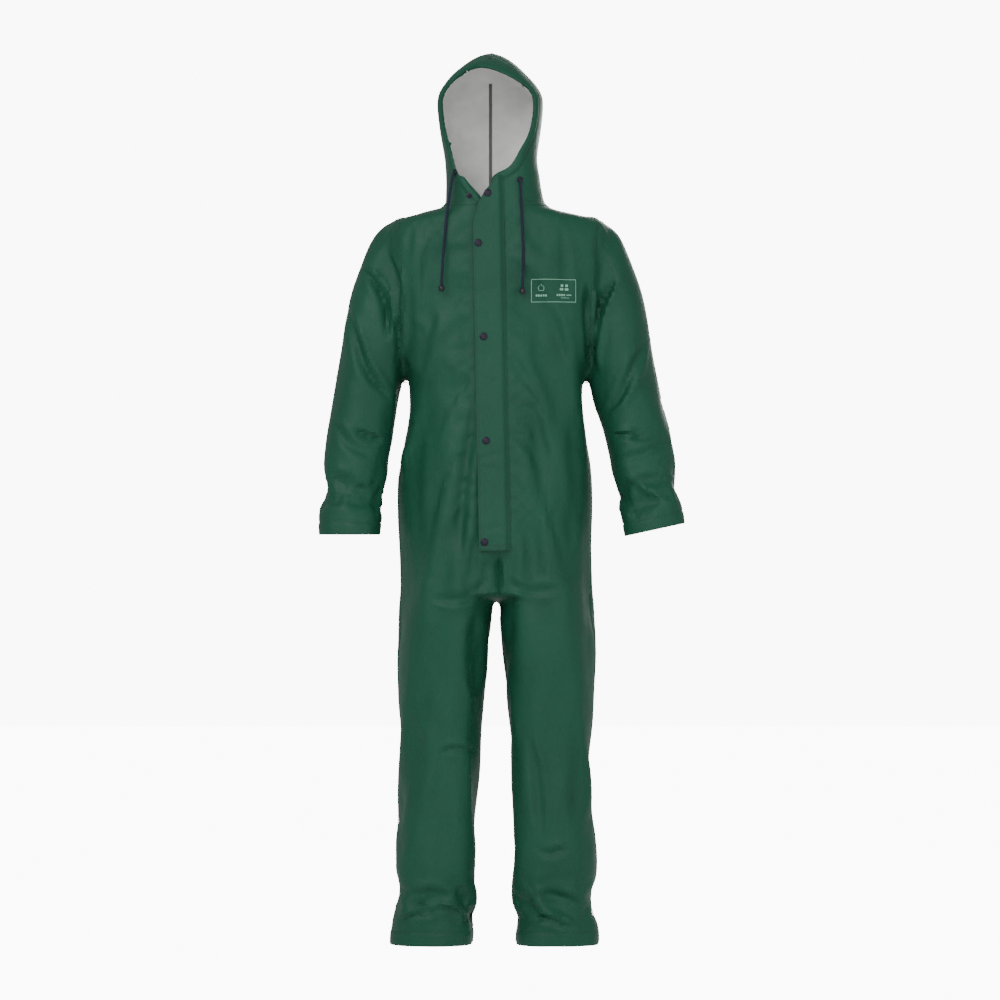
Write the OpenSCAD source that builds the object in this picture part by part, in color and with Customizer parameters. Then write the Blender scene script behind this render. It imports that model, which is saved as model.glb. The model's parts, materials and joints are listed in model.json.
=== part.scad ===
// Hooded one-piece chemical protective suit of coated cloth, in the shape it has when worn.
// Front is -Y, up is +Z, and the wearer's left is +X.
// The origin is the middle of the neck, level with the shoulders that carry the suit.

/* [Cloth] */
// Thickness of the body cloth as modelled, proofing and lining together
cloth_t = 2; // [1.6:0.1:2.4]
// Thickness of the folded hems at the cuffs and legs
hem_t = 3; // [2.6:0.1:3.4]
// Gap between cloth pieces that move against each other
joint_gap = 1.2; // [0.8:0.1:1.6]

/* [Front closing] */
// Width of the storm flap
flap_w = 62; // [56:1:66]
// How far the flap's back stands off the front panels
flap_off = 7; // [6.8:0.1:8]
// Radius of a press-stud cap
cap_r = 7.5; // [6.5:0.1:8]
// Width of the closed zip chain
chain_w = 6; // [5:0.1:6.5]
// Length of the zip pull
pull_l = 32; // [24:1:40]

/* [Hood] */
// Diameter of the drawcord
cord_d = 5; // [4:0.1:5.4]
// Width of the hem that holds the drawcord round the face
casing_w = 13; // [10:1:15]

/* [Hems] */
// Height of the hem at the cuffs
cuff_hem_h = 26; // [20:1:34]
// Height of the hem at the legs
leg_hem_h = 30; // [20:1:40]

/* [Hidden] */
$fn = 48;

huge = 4000;
green = [0.10, 0.27, 0.19];
navy = [0.06, 0.07, 0.16];
gunmetal = [0.20, 0.19, 0.22];

// ---- The front plane: a flat strip that leans back a little, where the closing lies ----
plane_bottom_z = -680;
plane_bottom_y = -124;
plane_tilt = 1.7;      // degrees, top towards the back
closing_x = -4;        // middle of the closing at its bottom
closing_lean = 1.1;    // degrees, top towards the wearer's right
flat_half = 42;        // half width of the flat strip
function plane_depth(z) = -(plane_bottom_y + (z - plane_bottom_z) * tan(plane_tilt));

// ---- Closed outlines and lofts ----
// One quarter of an outline, t 0 at the side and 1 at the front or back.
function quarter(t, flat, hw, d, p) =
    [flat + (hw - flat) * pow(cos(90 * t), 2 / p), d * pow(sin(90 * t), 2 / p)];
// Half an outline on the +X side, from front to back.
function half_outline(m, flat, hw, fd, bd, p) = concat(
    [for (i = [m:-1:0]) let (q = quarter(i / m, flat, hw, fd, p)) [q[0], -q[1]]],
    [for (i = [1:m]) quarter(i / m, flat, hw, bd, p)]);
// A whole outline at height z, centred on (cx, cy).
function outline(m, z, cx, cy, flat, hw, fd, bd, p) =
    let (h = half_outline(m, flat, hw, fd, bd, p)) concat(
        [for (q = h) [cx + q[0], cy + q[1], z]],
        [for (i = [len(h) - 1:-1:0]) [cx - h[i][0], cy + h[i][1], z]]);

// A closed solid through rings of equally many points, lowest ring first.
module loft(rings) {
    n = len(rings[0]);
    last = (len(rings) - 1) * n;
    sides = [for (k = [0:len(rings) - 2], i = [0:n - 1], side = [0, 1])
        let (a = k * n + i, b = k * n + (i + 1) % n)
            side == 0 ? [a, a + n, b + n] : [a, b + n, b]];
    polyhedron(
        points = [for (r = rings, q = r) q],
        faces = concat(sides, [[for (i = [0:n - 1]) i]], [[for (i = [n - 1:-1:0]) last + i]]),
        convexity = 8);
}

// Cloth is cut and joined as a mesh: its surfaces have no bores to keep.
module as_mesh() { resize([0, 0, 0]) children(); }

// ---- Trunk, neck and hood: [height, middle, half width, front depth, back depth, squareness] ----
// A front depth of 0 is the front plane's.
trunk_table = [
    [-765, 0, 191, 0, 124, 2.5], [-700, 0, 190, 0, 127, 2.5], [-620, 0, 190, 0, 124, 2.5],
    [-520, 0, 190, 0, 117, 2.5], [-450, 0, 181, 0, 112, 2.5], [-380, 0, 173, 0, 112, 2.5],
    [-322, 0, 179, 0, 116, 2.5], [-270, 0, 202, 0, 121, 2.5], [-190, 0, 226, 0, 125, 2.5],
    [-100, 0, 234, 0, 122, 2.5], [-52, 0, 228, 0, 112, 2.4], [-26, 0, 205, 0, 102, 2.3],
    [-13, 0, 152, 0, 94, 2.2], [0, -3, 101, 0, 86, 2.2], [30, -6, 95, 0, 84, 2.3],
    [60, -8, 93, 0, 88, 2.4], [100, -12, 92, 110, 97, 2.6], [145, -13, 99, 121, 108, 3],
    [185, -13, 104, 125, 116, 3], [215, -13, 105, 123, 118, 2.9], [240, -14, 94, 115, 111, 2.6],
    [264, -14, 73, 96, 92, 2.4], [286, -13, 49, 66, 63, 2.2], [300, -13, 27, 36, 35, 2],
    [307, -12, 8, 11, 10, 2]];
// The cloth's inner face: narrower all round, and lower where the surface faces upwards.
function trunk_ring(r, t) = let (
        up = (r[0] < 5 && r[0] > -60) || r[0] > 200,
        z = r[0] - (up ? t : 0) + (r[0] < -760 ? t : 0),
        fd = r[3] == 0 ? plane_depth(z) : r[3],
        flat = r[3] == 0 ? flat_half : flat_half * max(0, 1 - (r[0] - 60) / 100))
    outline(7, z, r[1], 0, min(flat, r[2] * 0.6), max(r[2] - t, 1), fd - t, r[4] - t, r[5]);
module trunk(t) { loft([for (r = trunk_table) trunk_ring(r, t)]); }

// The trunk's outer front surface at a place across and up, for what lies on the chest.
function between(a, b, k) = a + (b - a) * k;
function row_at(z, k = 0) = trunk_table[k + 1][0] > z || k + 2 >= len(trunk_table)
    ? let (a = trunk_table[k], b = trunk_table[k + 1], w = (z - a[0]) / (b[0] - a[0]))
        [for (i = [0:5]) between(a[i], b[i], w)]
    : row_at(z, k + 1);
function chest_y(x, z) = let (
        r = row_at(z),
        s = max(0, abs(x - r[1]) - flat_half) / (r[2] - flat_half))
    -plane_depth(z) * pow(1 - pow(min(s, 1), r[5]), 1 / r[5]);

// ---- Legs: [height, inner edge, outer edge, front depth, back depth] ----
hem_z = -1456;
leg_table = [
    [hem_z, 43, 203, 80, 84], [-1420, 41, 203, 80, 83], [-1350, 39, 200, 79, 82],
    [-1285, 37, 201, 80, 84], [-1160, 31, 197, 82, 88], [-1050, 27, 197, 86, 91],
    [-960, 18, 199, 93, 98], [-880, 14, 198, 102, 107], [-790, 6, 193, 114, 117],
    [-740, 3, 189, 118, 121]];
module leg(t, extra = 0) {
    rows = [for (r = leg_table) [r[0] - (r[0] == hem_z ? extra : 0), r[1], r[2], r[3], r[4]]];
    loft([for (r = rows) outline(5, r[0], (r[1] + r[2]) / 2, 0, 18,
        (r[2] - r[1]) / 2 - t, r[3] - t, r[4] - t, 2.3)]);
}

// ---- Sleeves: [inner edge x, z, outer edge x, z, half depth, forward lean] ----
sleeve_table = [
    [244, -648, 360, -634, 55, -38], [236, -596, 357, -580, 57, -30],
    [226, -536, 352, -516, 59, -20], [217, -476, 343, -446, 61, -12],
    [205, -425, 329, -376, 63, -5], [195, -385, 316, -305, 66, 0],
    [190, -357, 303, -235, 68, 0], [188, -342, 290, -170, 70, 0],
    [188, -334, 272, -118, 70, 0], [188, -329, 256, -80, 70, 0],
    [189, -325, 243, -56, 68, 0], [190, -321, 226, -39, 66, 0],
    [190.5, -318, 206, -31, 62, 0]];
function sleeve_ring(r, t, n = 22) = let (
        c = [(r[0] + r[2]) / 2, (r[1] + r[3]) / 2],
        u = [r[2] - r[0], r[3] - r[1]] / norm([r[2] - r[0], r[3] - r[1]]),
        half = norm([r[2] - r[0], r[3] - r[1]]) / 2 - t)
    [for (i = [0:n - 1]) let (
            a = 360 * (i + 0.5) / n,
            s = half * sign(cos(a)) * pow(abs(cos(a)), 0.9))
        [c[0] + u[0] * s, r[5] + (r[4] - t) * sign(sin(a)) * pow(abs(sin(a)), 0.9), c[1] + u[1] * s]];
cuff_way = [14, 0, -54] / norm([14, 0, -54]);      // along the forearm, out of the cuff
module sleeve(t, extra = 0) {
    mouth = [for (q = sleeve_ring(sleeve_table[0], t)) q + cuff_way * extra];
    armhole = [for (q = sleeve_ring(sleeve_table[12], t)) q - [extra, 0, 0]];
    loft(concat([mouth], [for (k = [0:11]) sleeve_ring(sleeve_table[k], t)], [armhole]));
}

// ---- Where the cloth bends: a drum about each joint's axis ----
function drum_r(r, side) = r + side * joint_gap / 2;
hood_pivot = [0, 30, 90];
hood_drum_r = 82;
shoulder_pivot = [262, 0, -345];
shoulder_drum_r = 76;
shoulder_slope = 20;   // degrees, the upper arm against upright
elbow_pivot = [274, -6, -440];
elbow_drum_r = 80;
elbow_slope = 11;      // degrees, the elbow's axis against level
hip_pivot = [0, 0, -830];
hip_drum_r = 130;
knee_pivot = [0, 0, -1070];
knee_drum_r = 99;
crotch_half = 9;       // half width of the crotch strip that stays with the trunk

module drum_x(c, r, x0, x1) {
    translate([x0, c[1], c[2]]) rotate([0, 90, 0]) cylinder(r = r, h = x1 - x0, $fn = 64);
}
module below_z(z) { translate([-huge / 2, -huge / 2, z - huge]) cube(huge); }

// What the moving piece keeps; side -1 is the moving piece and side 1 is the piece that it moves in.
module hood_zone(side) {
    drum_x(hood_pivot, drum_r(hood_drum_r, side), -huge / 2, huge / 2);
    translate([-huge / 2, -huge / 2, hood_pivot[2] - side * joint_gap / 2]) cube(huge);
}
module hip_zone(side) {
    inner = crotch_half - side * joint_gap / 2;
    drum_x(hip_pivot, drum_r(hip_drum_r, side), inner, 260);
    intersection() {
        below_z(hip_pivot[2]);
        translate([inner, -huge / 2, -huge]) cube(huge);
    }
}
module knee_zone(side) {
    drum_x(knee_pivot, drum_r(knee_drum_r, side), 0, 260);
    below_z(knee_pivot[2]);
}
module shoulder_zone(side) {
    translate(shoulder_pivot) {
        rotate([90, 0, 0]) cylinder(r = drum_r(shoulder_drum_r, side), h = 400, center = true, $fn = 64);
        rotate([0, -shoulder_slope, 0]) translate([0, 0, -huge / 2 - side * joint_gap / 2])
            cube([huge, huge, huge], center = true);
    }
}
module elbow_zone(side) {
    translate(elbow_pivot) rotate([0, -elbow_slope, 0]) {
        rotate([0, 90, 0]) cylinder(r = drum_r(elbow_drum_r, side), h = 400, center = true, $fn = 64);
        translate([0, 0, -huge / 2]) cube(huge, center = true);
    }
}

// ---- Openings in the trunk and hood ----
// The face opening and the notch at the throat, as seen from the front: across, up.
face_outline = [
    [-21, 8], [-60, 57], [-74, 63], [-86, 88], [-98, 140], [-102, 182], [-98, 216],
    [-78, 252], [-46, 273], [-10, 274], [34, 260], [74, 226], [78, 180], [70, 136],
    [50, 98], [30, 74], [0, 54], [-14, 8]];
face_middle = [-17, 120];
// A row's surface depth at a place across, and the bearing of that place from the row's middle.
function front_y(x, r, z) = let (s = max(0, abs(x - r[1]) - flat_half * 0.5) / (r[2] - flat_half * 0.5))
    (r[3] == 0 ? plane_depth(z) : r[3]) * pow(1 - pow(min(s, 0.98), r[5]), 1 / r[5]);
face_r = 105;
// The outline unrolled: arc length round the head, height.
face_flat = [for (q = face_outline) let (r = row_at(q[1]))
    [face_r * atan2(q[0] - r[1], front_y(q[0], r, q[1])) * PI / 180, q[1]]];
function face_normal(i) = let (
        n = len(face_flat), a = face_flat[(i + n - 1) % n], b = face_flat[i], c = face_flat[(i + 1) % n],
        u = (b - a) / norm(b - a), v = (c - b) / norm(c - b),
        m = [-(u[1] + v[1]), u[0] + v[0]])
    m / norm(m) / max(0.6, norm(m) / 2);
function face_grown(grow) = [for (i = [0:len(face_flat) - 1]) face_flat[i] + grow * face_normal(i)];
function on_bearing(q, radius) = let (r = row_at(q[1]), b = q[0] / face_r * 180 / PI)
    [r[1] + radius * sin(b), -radius * cos(b), q[1]];
// A wedge from inside the head out through the opening, its sides square to the cloth.
module face_cut(grow = 0) {
    flat = face_grown(grow);
    n = len(flat);
    mid = [face_flat[0][0], face_middle[1]];
    polyhedron(
        points = concat([for (q = flat) on_bearing(q, 30)], [for (q = flat) on_bearing(q, 400)],
            [on_bearing(mid, 30), on_bearing(mid, 400)]),
        faces = concat(
            [for (i = [0:n - 1]) [2 * n, (i + 1) % n, i]],
            [for (i = [0:n - 1]) [2 * n + 1, n + i, n + (i + 1) % n]],
            [for (i = [0:n - 1], side = [0, 1]) let (j = (i + 1) % n)
                side == 0 ? [i, n + j, n + i] : [i, j, n + j]]),
        convexity = 8);
}
armhole_x = 190;
module armhole_side(extra = 0) {
    translate([armhole_x - extra, 0, -172]) rotate([0, 2, 0])
        translate([0, -huge / 2, -huge / 2]) cube(huge);
}
module both_sides() { children(); mirror([1, 0, 0]) children(); }

// All the cloth of trunk, neck, hood and legs, with nothing cut apart.
module body_cloth() {
    difference() {
        union() { trunk(0); both_sides() leg(0); }
        trunk(cloth_t);
        both_sides() leg(cloth_t, 20);
    }
}
module trunk_cloth() {
    difference() {
        body_cloth();
        both_sides() hip_zone(1);
        both_sides() intersection() {
            armhole_side();
            translate([0, -huge / 2, -321]) cube([huge, huge, huge]);
        }
        hood_zone(1);
        face_cut();
    }
}

// ---- Pieces of the trunk ----
neck_seam_z = 0;
zip_slot_half = 5.8;
// Runs along the closing: x across it, y into the suit, z up it from its bottom end.
module on_closing() {
    translate([closing_x, plane_bottom_y, plane_bottom_z])
        rotate([-plane_tilt, -closing_lean, 0]) children();
}
zip_bottom = 22;
zip_top = 676;
module zip_slot(half) {
    on_closing() translate([-half, -60, zip_bottom - 12]) cube([2 * half, 120, 900]);
}
module slab_z(z0, z1) { translate([-huge / 2, -huge / 2, z0]) cube([huge, huge, z1 - z0]); }
module left_of_closing() {
    on_closing() translate([0, -huge / 2, -huge / 2]) cube(huge);
}
module front_half(y0 = 0) { translate([-huge / 2, y0 - huge, -huge / 2]) cube(huge); }

module front_panel(right) {
    color(green) as_mesh() difference() {
        intersection() {
            trunk_cloth();
            front_half();
            slab_z(-huge / 2, neck_seam_z);
        }
        if (right) left_of_closing();
        else difference() { slab_z(-huge / 2, huge / 2); left_of_closing(); }
        zip_slot(zip_slot_half);
    }
}
module back_panel() {
    color(green) as_mesh() difference() {
        intersection() { trunk_cloth(); slab_z(-huge / 2, neck_seam_z); }
        front_half();
    }
}
module side_half(right) { mirror([right ? 1 : 0, 0, 0]) translate([0, -huge / 2, -huge / 2]) cube(huge); }
// One side of the neck and throat: split at the closing in front and in the middle behind.
module throat_side(right) {
    intersection() {
        front_half();
        if (right) difference() { slab_z(-huge / 2, huge / 2); left_of_closing(); }
        else left_of_closing();
    }
    difference() { translate([-12, 0, 0]) side_half(right); front_half(); }
}
module neck(right) {
    color(green) as_mesh() difference() {
        intersection() {
            trunk_cloth();
            slab_z(neck_seam_z, huge / 2);
            throat_side(right);
        }
        zip_slot(zip_slot_half);
        face_cut(casing_w);
    }
}
module hood(right) {
    color(green) as_mesh() difference() {
        intersection() {
            body_cloth();
            hood_zone(-1);
            translate([-12, 0, 0]) side_half(right);
        }
        face_cut(casing_w);
    }
}
// The doubled edge round the face that the drawcord runs in, solid about the cord.
hem_depth = cloth_t + cord_d + 2;
module casing() {
    difference() {
        intersection() { trunk(-0.6); face_cut(casing_w - 0.2); }
        trunk(hem_depth);
        slab_z(-huge / 2, neck_seam_z + 0.2);
        face_cut();
    }
}
module face_hem() {
    color(green) as_mesh() intersection() { casing(); hood_zone(-1); }
}
module throat_hem(right) {
    color(green) as_mesh() difference() {
        intersection() { casing(); throat_side(right); }
        hood_zone(1);
        zip_slot(zip_slot_half);
    }
}

// ---- Sleeves ----
module sleeve_cloth(t0 = 0, t1 = cloth_t) {
    difference() { sleeve(t0); sleeve(t1, 12); }
}
module cuff_zone(h) {
    translate([302, -38, -641] - cuff_way * h) rotate([0, -atan2(14, 54), 0])
        translate([0, 0, -100]) cube(200, center = true);
}
module sleeve_head() {
    as_mesh() difference() { sleeve_cloth(); shoulder_zone(1); }
}
module upper_sleeve() {
    as_mesh() difference() {
        intersection() { sleeve_cloth(); shoulder_zone(-1); }
        elbow_zone(1);
    }
}
module lower_sleeve() {
    as_mesh() difference() {
        intersection() { sleeve_cloth(); elbow_zone(-1); }
        cuff_zone(cuff_hem_h);
    }
}
module cuff_hem() {
    as_mesh() intersection() {
        sleeve_cloth(-0.6, hem_t);
        cuff_zone(cuff_hem_h - 0.02);
    }
}

// ---- Legs ----
module leg_cloth() { intersection() { body_cloth(); hip_zone(-1); } }
module thigh(front) {
    as_mesh() difference() {
        leg_cloth();
        knee_zone(1);
        if (front) difference() { slab_z(-huge / 2, huge / 2); front_half(); }
        else front_half();
    }
}
module shin(front) {
    as_mesh() difference() {
        intersection() { leg_cloth(); knee_zone(-1); }
        below_z(hem_z + leg_hem_h);
        if (front) difference() { slab_z(-huge / 2, huge / 2); front_half(); }
        else front_half();
    }
}
module leg_hem() {
    as_mesh() intersection() {
        difference() { leg(-0.6); leg(hem_t, 20); }
        below_z(hem_z + leg_hem_h - 0.02);
    }
}
module sided(right) { color(green) mirror([right ? 1 : 0, 0, 0]) children(); }

// ---- Storm flap and what is under it ----
flap_t = 2;
flap_outline = [
    [-flap_w / 2, 0], [flap_w / 2, 0], [flap_w / 2, 736], [17, 736], [-11, 697],
    [-19, 682], [-flap_w / 2, 640]];
// Across the flap, from its free edge to the sewn edge that comes down on the front panel.
flap_section = [
    [-flap_w / 2, -flap_off], [flap_w / 2 - 11, -flap_off], [flap_w / 2 - 2, -0.9], [flap_w / 2, -0.9],
    [flap_w / 2, -2.6], [flap_w / 2 - 9.6, -flap_off - flap_t], [-flap_w / 2, -flap_off - flap_t]];
// Along the closing: heights of the press studs, and how far each lies from its middle.
snap_rows = [[17, -20], [215, -13], [419, -14], [603, -21]];
collar_cap = [-0.5, 701];
collar_stud = [-36, 697];
post_r = 2;
socket_r = 6;
stud_knob_r = 2.2;
socket_bore_r = 2.7;
module snap_holes(r) {
    for (s = [for (k = snap_rows) [k[1], k[0]]]) translate([s[0], 0, s[1]])
        rotate([90, 0, 0]) cylinder(r = r, h = 60, center = true);
    translate([collar_cap[0], 0, collar_cap[1]]) rotate([90, 0, 0]) cylinder(r = r, h = 60, center = true);
}
module storm_flap() {
    color(green) on_closing() difference() {
        intersection() {
            linear_extrude(740) polygon(flap_section);
            rotate([90, 0, 0]) linear_extrude(30) polygon(flap_outline);
        }
        snap_holes(post_r);
    }
}
module at_caps() {
    for (k = snap_rows) translate([k[1], -flap_off, k[0]]) rotate([90, 0, 0]) children();
    translate([collar_cap[0], -flap_off, collar_cap[1]]) rotate([90, 0, 0]) children();
}
// Domed cap with its post, which passes through the flap.
module snap_caps() {
    color(gunmetal) on_closing() at_caps() rotate_extrude() polygon([
        [0, -1.2], [post_r, -1.2], [post_r, flap_t], [cap_r - 0.6, flap_t], [cap_r, flap_t + 0.4],
        [cap_r - 0.3, flap_t + 1.2], [cap_r - 1.5, flap_t + 1.7], [2.5, flap_t + 2.1], [0, flap_t + 2.2]]);
}
// Spring socket clenched on the post behind the flap.
module snap_sockets() {
    color(gunmetal) on_closing() at_caps() rotate_extrude() polygon([
        [post_r, 0], [socket_r, 0], [socket_r, -1.2], [socket_r - 1, -3.4], [socket_bore_r, -3.4],
        [socket_bore_r, -1.2], [post_r, -1.2]]);
}
module at_studs() {
    for (k = snap_rows) translate([k[1], 0, k[0]]) rotate([90, 0, 0]) children();
    translate([collar_stud[0], 0, collar_stud[1]]) rotate([90, 0, 0]) children();
}
module snap_studs() {
    color(gunmetal) on_closing() at_studs() rotate_extrude() polygon([
        [0, 0.1], [socket_r, 0.1], [socket_r, 0.8], [stud_knob_r + 0.6, 1.6], [stud_knob_r - 0.3, 2.4],
        [stud_knob_r, 4], [stud_knob_r - 0.8, 4.8], [0, 4.8]]);
}
module snap_backs() {
    color(gunmetal) on_closing() at_studs() rotate_extrude() polygon([
        [0, -cloth_t - 1.1], [4.6, -cloth_t - 1.1], [4.8, -cloth_t - 0.7], [4.8, -cloth_t - 0.1],
        [0, -cloth_t - 0.1]]);
}
guard_w = 54;
module zip_guard() {
    color(green) on_closing() translate([-guard_w / 2, 6.6, zip_bottom - 14])
        cube([guard_w, 1.6, zip_top - zip_bottom + 12]);
}
tape_w = 13;
module zip_tape(right) {
    color(navy) on_closing() mirror([right ? 1 : 0, 0, 0])
        translate([chain_w / 2, cloth_t + 0.1, zip_bottom])
            cube([tape_w, 0.9, zip_top - zip_bottom - 14]);
}
// One row of teeth as a bar, with room in the middle for the slider's wedge.
wedge_w = 1;
module zip_teeth(right) {
    color(navy) on_closing() mirror([right ? 1 : 0, 0, 0])
        translate([wedge_w / 2 + 0.3, 1.2, zip_bottom + 2.2])
            cube([chain_w / 2 - wedge_w / 2 - 0.35, 2.4, zip_top - zip_bottom - 18]);
}
module zip_stops() {
    color(gunmetal) on_closing() {
        translate([-2.9, 0.4, zip_bottom - 6]) cube([5.8, 4, 8]);
        for (side = [-1, 1]) translate([side * 1.5 - 1.35, 0.6, zip_top - 15.5]) cube([2.7, 3.6, 5]);
    }
}
// Slider with a tunnel for the teeth: a bridge in front and a shoe behind.
slider_z = zip_top - 30;
module zip_slider() {
    color(gunmetal) on_closing() translate([0, 0, slider_z]) difference() {
        union() {
            translate([-5.4, -1.4, -7]) cube([10.8, 7.4, 14]);
            translate([-1.6, -4.6, -3.4]) cube([3.2, 3.3, 6.8]);
        }
        for (side = [0, 1]) mirror([side, 0, 0]) {
            translate([wedge_w / 2, 0.8, -8]) cube([chain_w / 2 + 0.5 - wedge_w / 2, 3.2, 16]);
            translate([wedge_w / 2, 1.4, -8]) cube([6, 2.2, 16]);
        }
        translate([-2, -3.5, -2]) cube([4, 2.2, 4]);
    }
}
// A flat pull whose eye has its top bar in the bridge's hole.
module zip_pull() {
    color(gunmetal) on_closing() translate([0, -2.4, slider_z]) rotate([90, 0, 0])
        linear_extrude(1.2, center = true) difference() {
            polygon([[-5.2, 0.8], [5.2, 0.8], [5.2, -9], [4, 3 - pull_l], [2, -pull_l],
                [-2, -pull_l], [-4, 3 - pull_l], [-5.2, -9]]);
            translate([-3.4, -7.4]) square([6.8, 6.6]);
            translate([-1.2, 4 - pull_l]) square([2.4, 5]);
        }
}

// ---- Drawcord ----
eyelet_at_right = [-81, 0, 63];
eyelet_at_left = [45, 0, 47];
eyelet_turn = 52;      // degrees, how far the wearer's right eyelet faces sideways
eyelet_turn_left = 10;
function neck_y(p) = chest_y(p[0], p[2]);
module eyelet(p, turn) {
    color(gunmetal) translate([p[0], neck_y(p) - 0.5, p[2]]) rotate([90, 0, -turn]) translate([0, 0, 2])
        rotate_extrude() polygon([
            [3.4, 0], [6.2, 0], [6.2, 0.4], [5.6, 0.8], [4, 0.8], [3.4, 0.5]]);
}
// A round tube along points, as rings turned to face along the way.
function unit(v) = v / norm(v);
function along(path, k) = unit(path[min(k + 1, len(path) - 1)] - path[max(k - 1, 0)]);
function tube_ring(path, k, r, n) = let (
        t = along(path, k), side = unit(cross(t, [0, 1, 0.02])), up = cross(side, t))
    [for (i = [0:n - 1]) path[k] + r * (side * cos(360 * i / n) + up * sin(360 * i / n))];
module tube(path, r, n = 8) { loft([for (k = [0:len(path) - 1]) tube_ring(path, k, r, n)]); }

cord_path_right = [
    [-84.6, -92.8, 62.4], [-86.2, -95.2, 57], [-88, -97, 48], [-91, -99, 30], [-94, -102, 10],
    [-96.5, -105, -10], [-99.5, -107.5, -36], [-102, -109, -62], [-104, -110, -88],
    [-106, -111, -114], [-107.5, -112, -138], [-108.5, -113, -160]];
cord_path_left = [
    [45.2, -107.2, 46], [45.4, -109.4, 42], [46, -110.6, 32], [47, -110, 16], [48, -110, 0],
    [49, -110.5, -25], [50, -111.5, -50], [51, -112.5, -75], [51.5, -113.5, -100],
    [51.5, -114.5, -125], [50.5, -115.5, -148], [50, -116.5, -166]];
module drawcord(path) { color(navy) tube(path, cord_d / 2); }
module cord_end(path) {
    last = path[len(path) - 1];
    color(navy) translate(last + [0, 0, -6.4]) rotate_extrude() polygon([
        [0, 6.2], [3.4, 6], [5.6, 2.6], [6, 0], [5.2, -3.4], [3, -6], [0, -6.6]]);
}
// The cord inside the hem, from the wearer's right side of the face over the top to the left.
// Distance from the head's middle line out to the cloth on a bearing.
function head_r(r, z, b) = let (
        fd = r[3] == 0 ? plane_depth(z) : r[3],
        c = pow(abs(sin(b)) / r[2], r[5]) + pow(cos(b) / fd, r[5]))
    pow(1 / c, 1 / r[5]);
module hood_cord(r) {
    mid = face_grown(casing_w / 2);
    path = [for (k = [6:45]) let (
            i = floor(k / 3), q = between(mid[i], mid[i + 1], k / 3 - i),
            b = q[0] / face_r * 180 / PI)
        on_bearing(q, head_r(row_at(q[1]), q[1], b) - hem_depth / 2 + 0.5)];
    tube(path, r);
}
module drawcord_hood() {
    color(navy) as_mesh() intersection() { hood_cord(cord_d / 2); hood_zone(-1); }
}

// ---- Trim ----
print_size = [87, 47];
// A printed frame with a drop and a flask in it.
module chest_print() {
    x0 = 66;
    z0 = -148;
    tilt = atan2(chest_y(x0 + print_size[0], z0) - chest_y(x0, z0), print_size[0]);
    color([0.62, 0.80, 0.70])
        translate([x0, chest_y(x0, z0) - 4.2, z0 - print_size[1]]) rotate([90, 0, tilt])
            linear_extrude(0.3) {
                difference() {
                    square(print_size);
                    translate([1.6, 1.6]) square(print_size - [3.2, 3.2]);
                }
                translate([22, 22]) circle(r = 7);
                translate([58, 14]) polygon([[-8, 0], [8, 0], [3, 10], [3, 20], [-3, 20], [-3, 10]]);
            }
}
// A loop of tape at the back of the neck to hang the suit by.
loop_w = 34;
module hanger_loop() {
    color(navy) translate([-3, 66, -2]) rotate([90, 0, 0]) linear_extrude(9, center = true)
        difference() {
            hull() for (x = [-1, 1]) translate([x * (loop_w / 2 - 7), 0]) circle(r = 7);
            hull() for (x = [-1, 1]) translate([x * (loop_w / 2 - 7), 0]) circle(r = 5.6);
        }
}

front_panel(true);  // front_panel_right
front_panel(false);  // front_panel_left
back_panel();
neck(true);  // neck_right
neck(false);  // neck_left
hood(true);  // hood_right
hood(false);  // hood_left
face_hem();
throat_hem(true);  // throat_hem_right
throat_hem(false);  // throat_hem_left
sided(true) sleeve_head();  // sleeve_head_right
sided(false) sleeve_head();  // sleeve_head_left
sided(true) upper_sleeve();  // upper_sleeve_right
sided(false) upper_sleeve();  // upper_sleeve_left
sided(true) lower_sleeve();  // lower_sleeve_right
sided(false) lower_sleeve();  // lower_sleeve_left
sided(true) cuff_hem();  // cuff_hem_right
sided(false) cuff_hem();  // cuff_hem_left
sided(true) thigh(true);  // thigh_front_right
sided(false) thigh(true);  // thigh_front_left
sided(true) thigh(false);  // thigh_back_right
sided(false) thigh(false);  // thigh_back_left
sided(true) shin(true);  // shin_front_right
sided(false) shin(true);  // shin_front_left
sided(true) shin(false);  // shin_back_right
sided(false) shin(false);  // shin_back_left
sided(true) leg_hem();  // leg_hem_right
sided(false) leg_hem();  // leg_hem_left
storm_flap();
zip_guard();
zip_tape(true);  // zip_tape_right
zip_tape(false);  // zip_tape_left
zip_teeth(true);  // zip_teeth_right
zip_teeth(false);  // zip_teeth_left
zip_stops();
zip_slider();
zip_pull();
snap_caps();
snap_sockets();
snap_studs();
snap_backs();
eyelet(eyelet_at_right, eyelet_turn);  // eyelet_right
eyelet(eyelet_at_left, -eyelet_turn_left);  // eyelet_left
drawcord_hood();
drawcord(cord_path_right);  // drawcord_right
drawcord(cord_path_left);  // drawcord_left
cord_end(cord_path_right);  // cord_end_right
cord_end(cord_path_left);  // cord_end_left
chest_print();
hanger_loop();
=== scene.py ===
import json
import math

import bmesh
import bpy
import numpy as np
from mathutils import Matrix, Vector, noise
from mathutils.bvhtree import BVHTree

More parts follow.
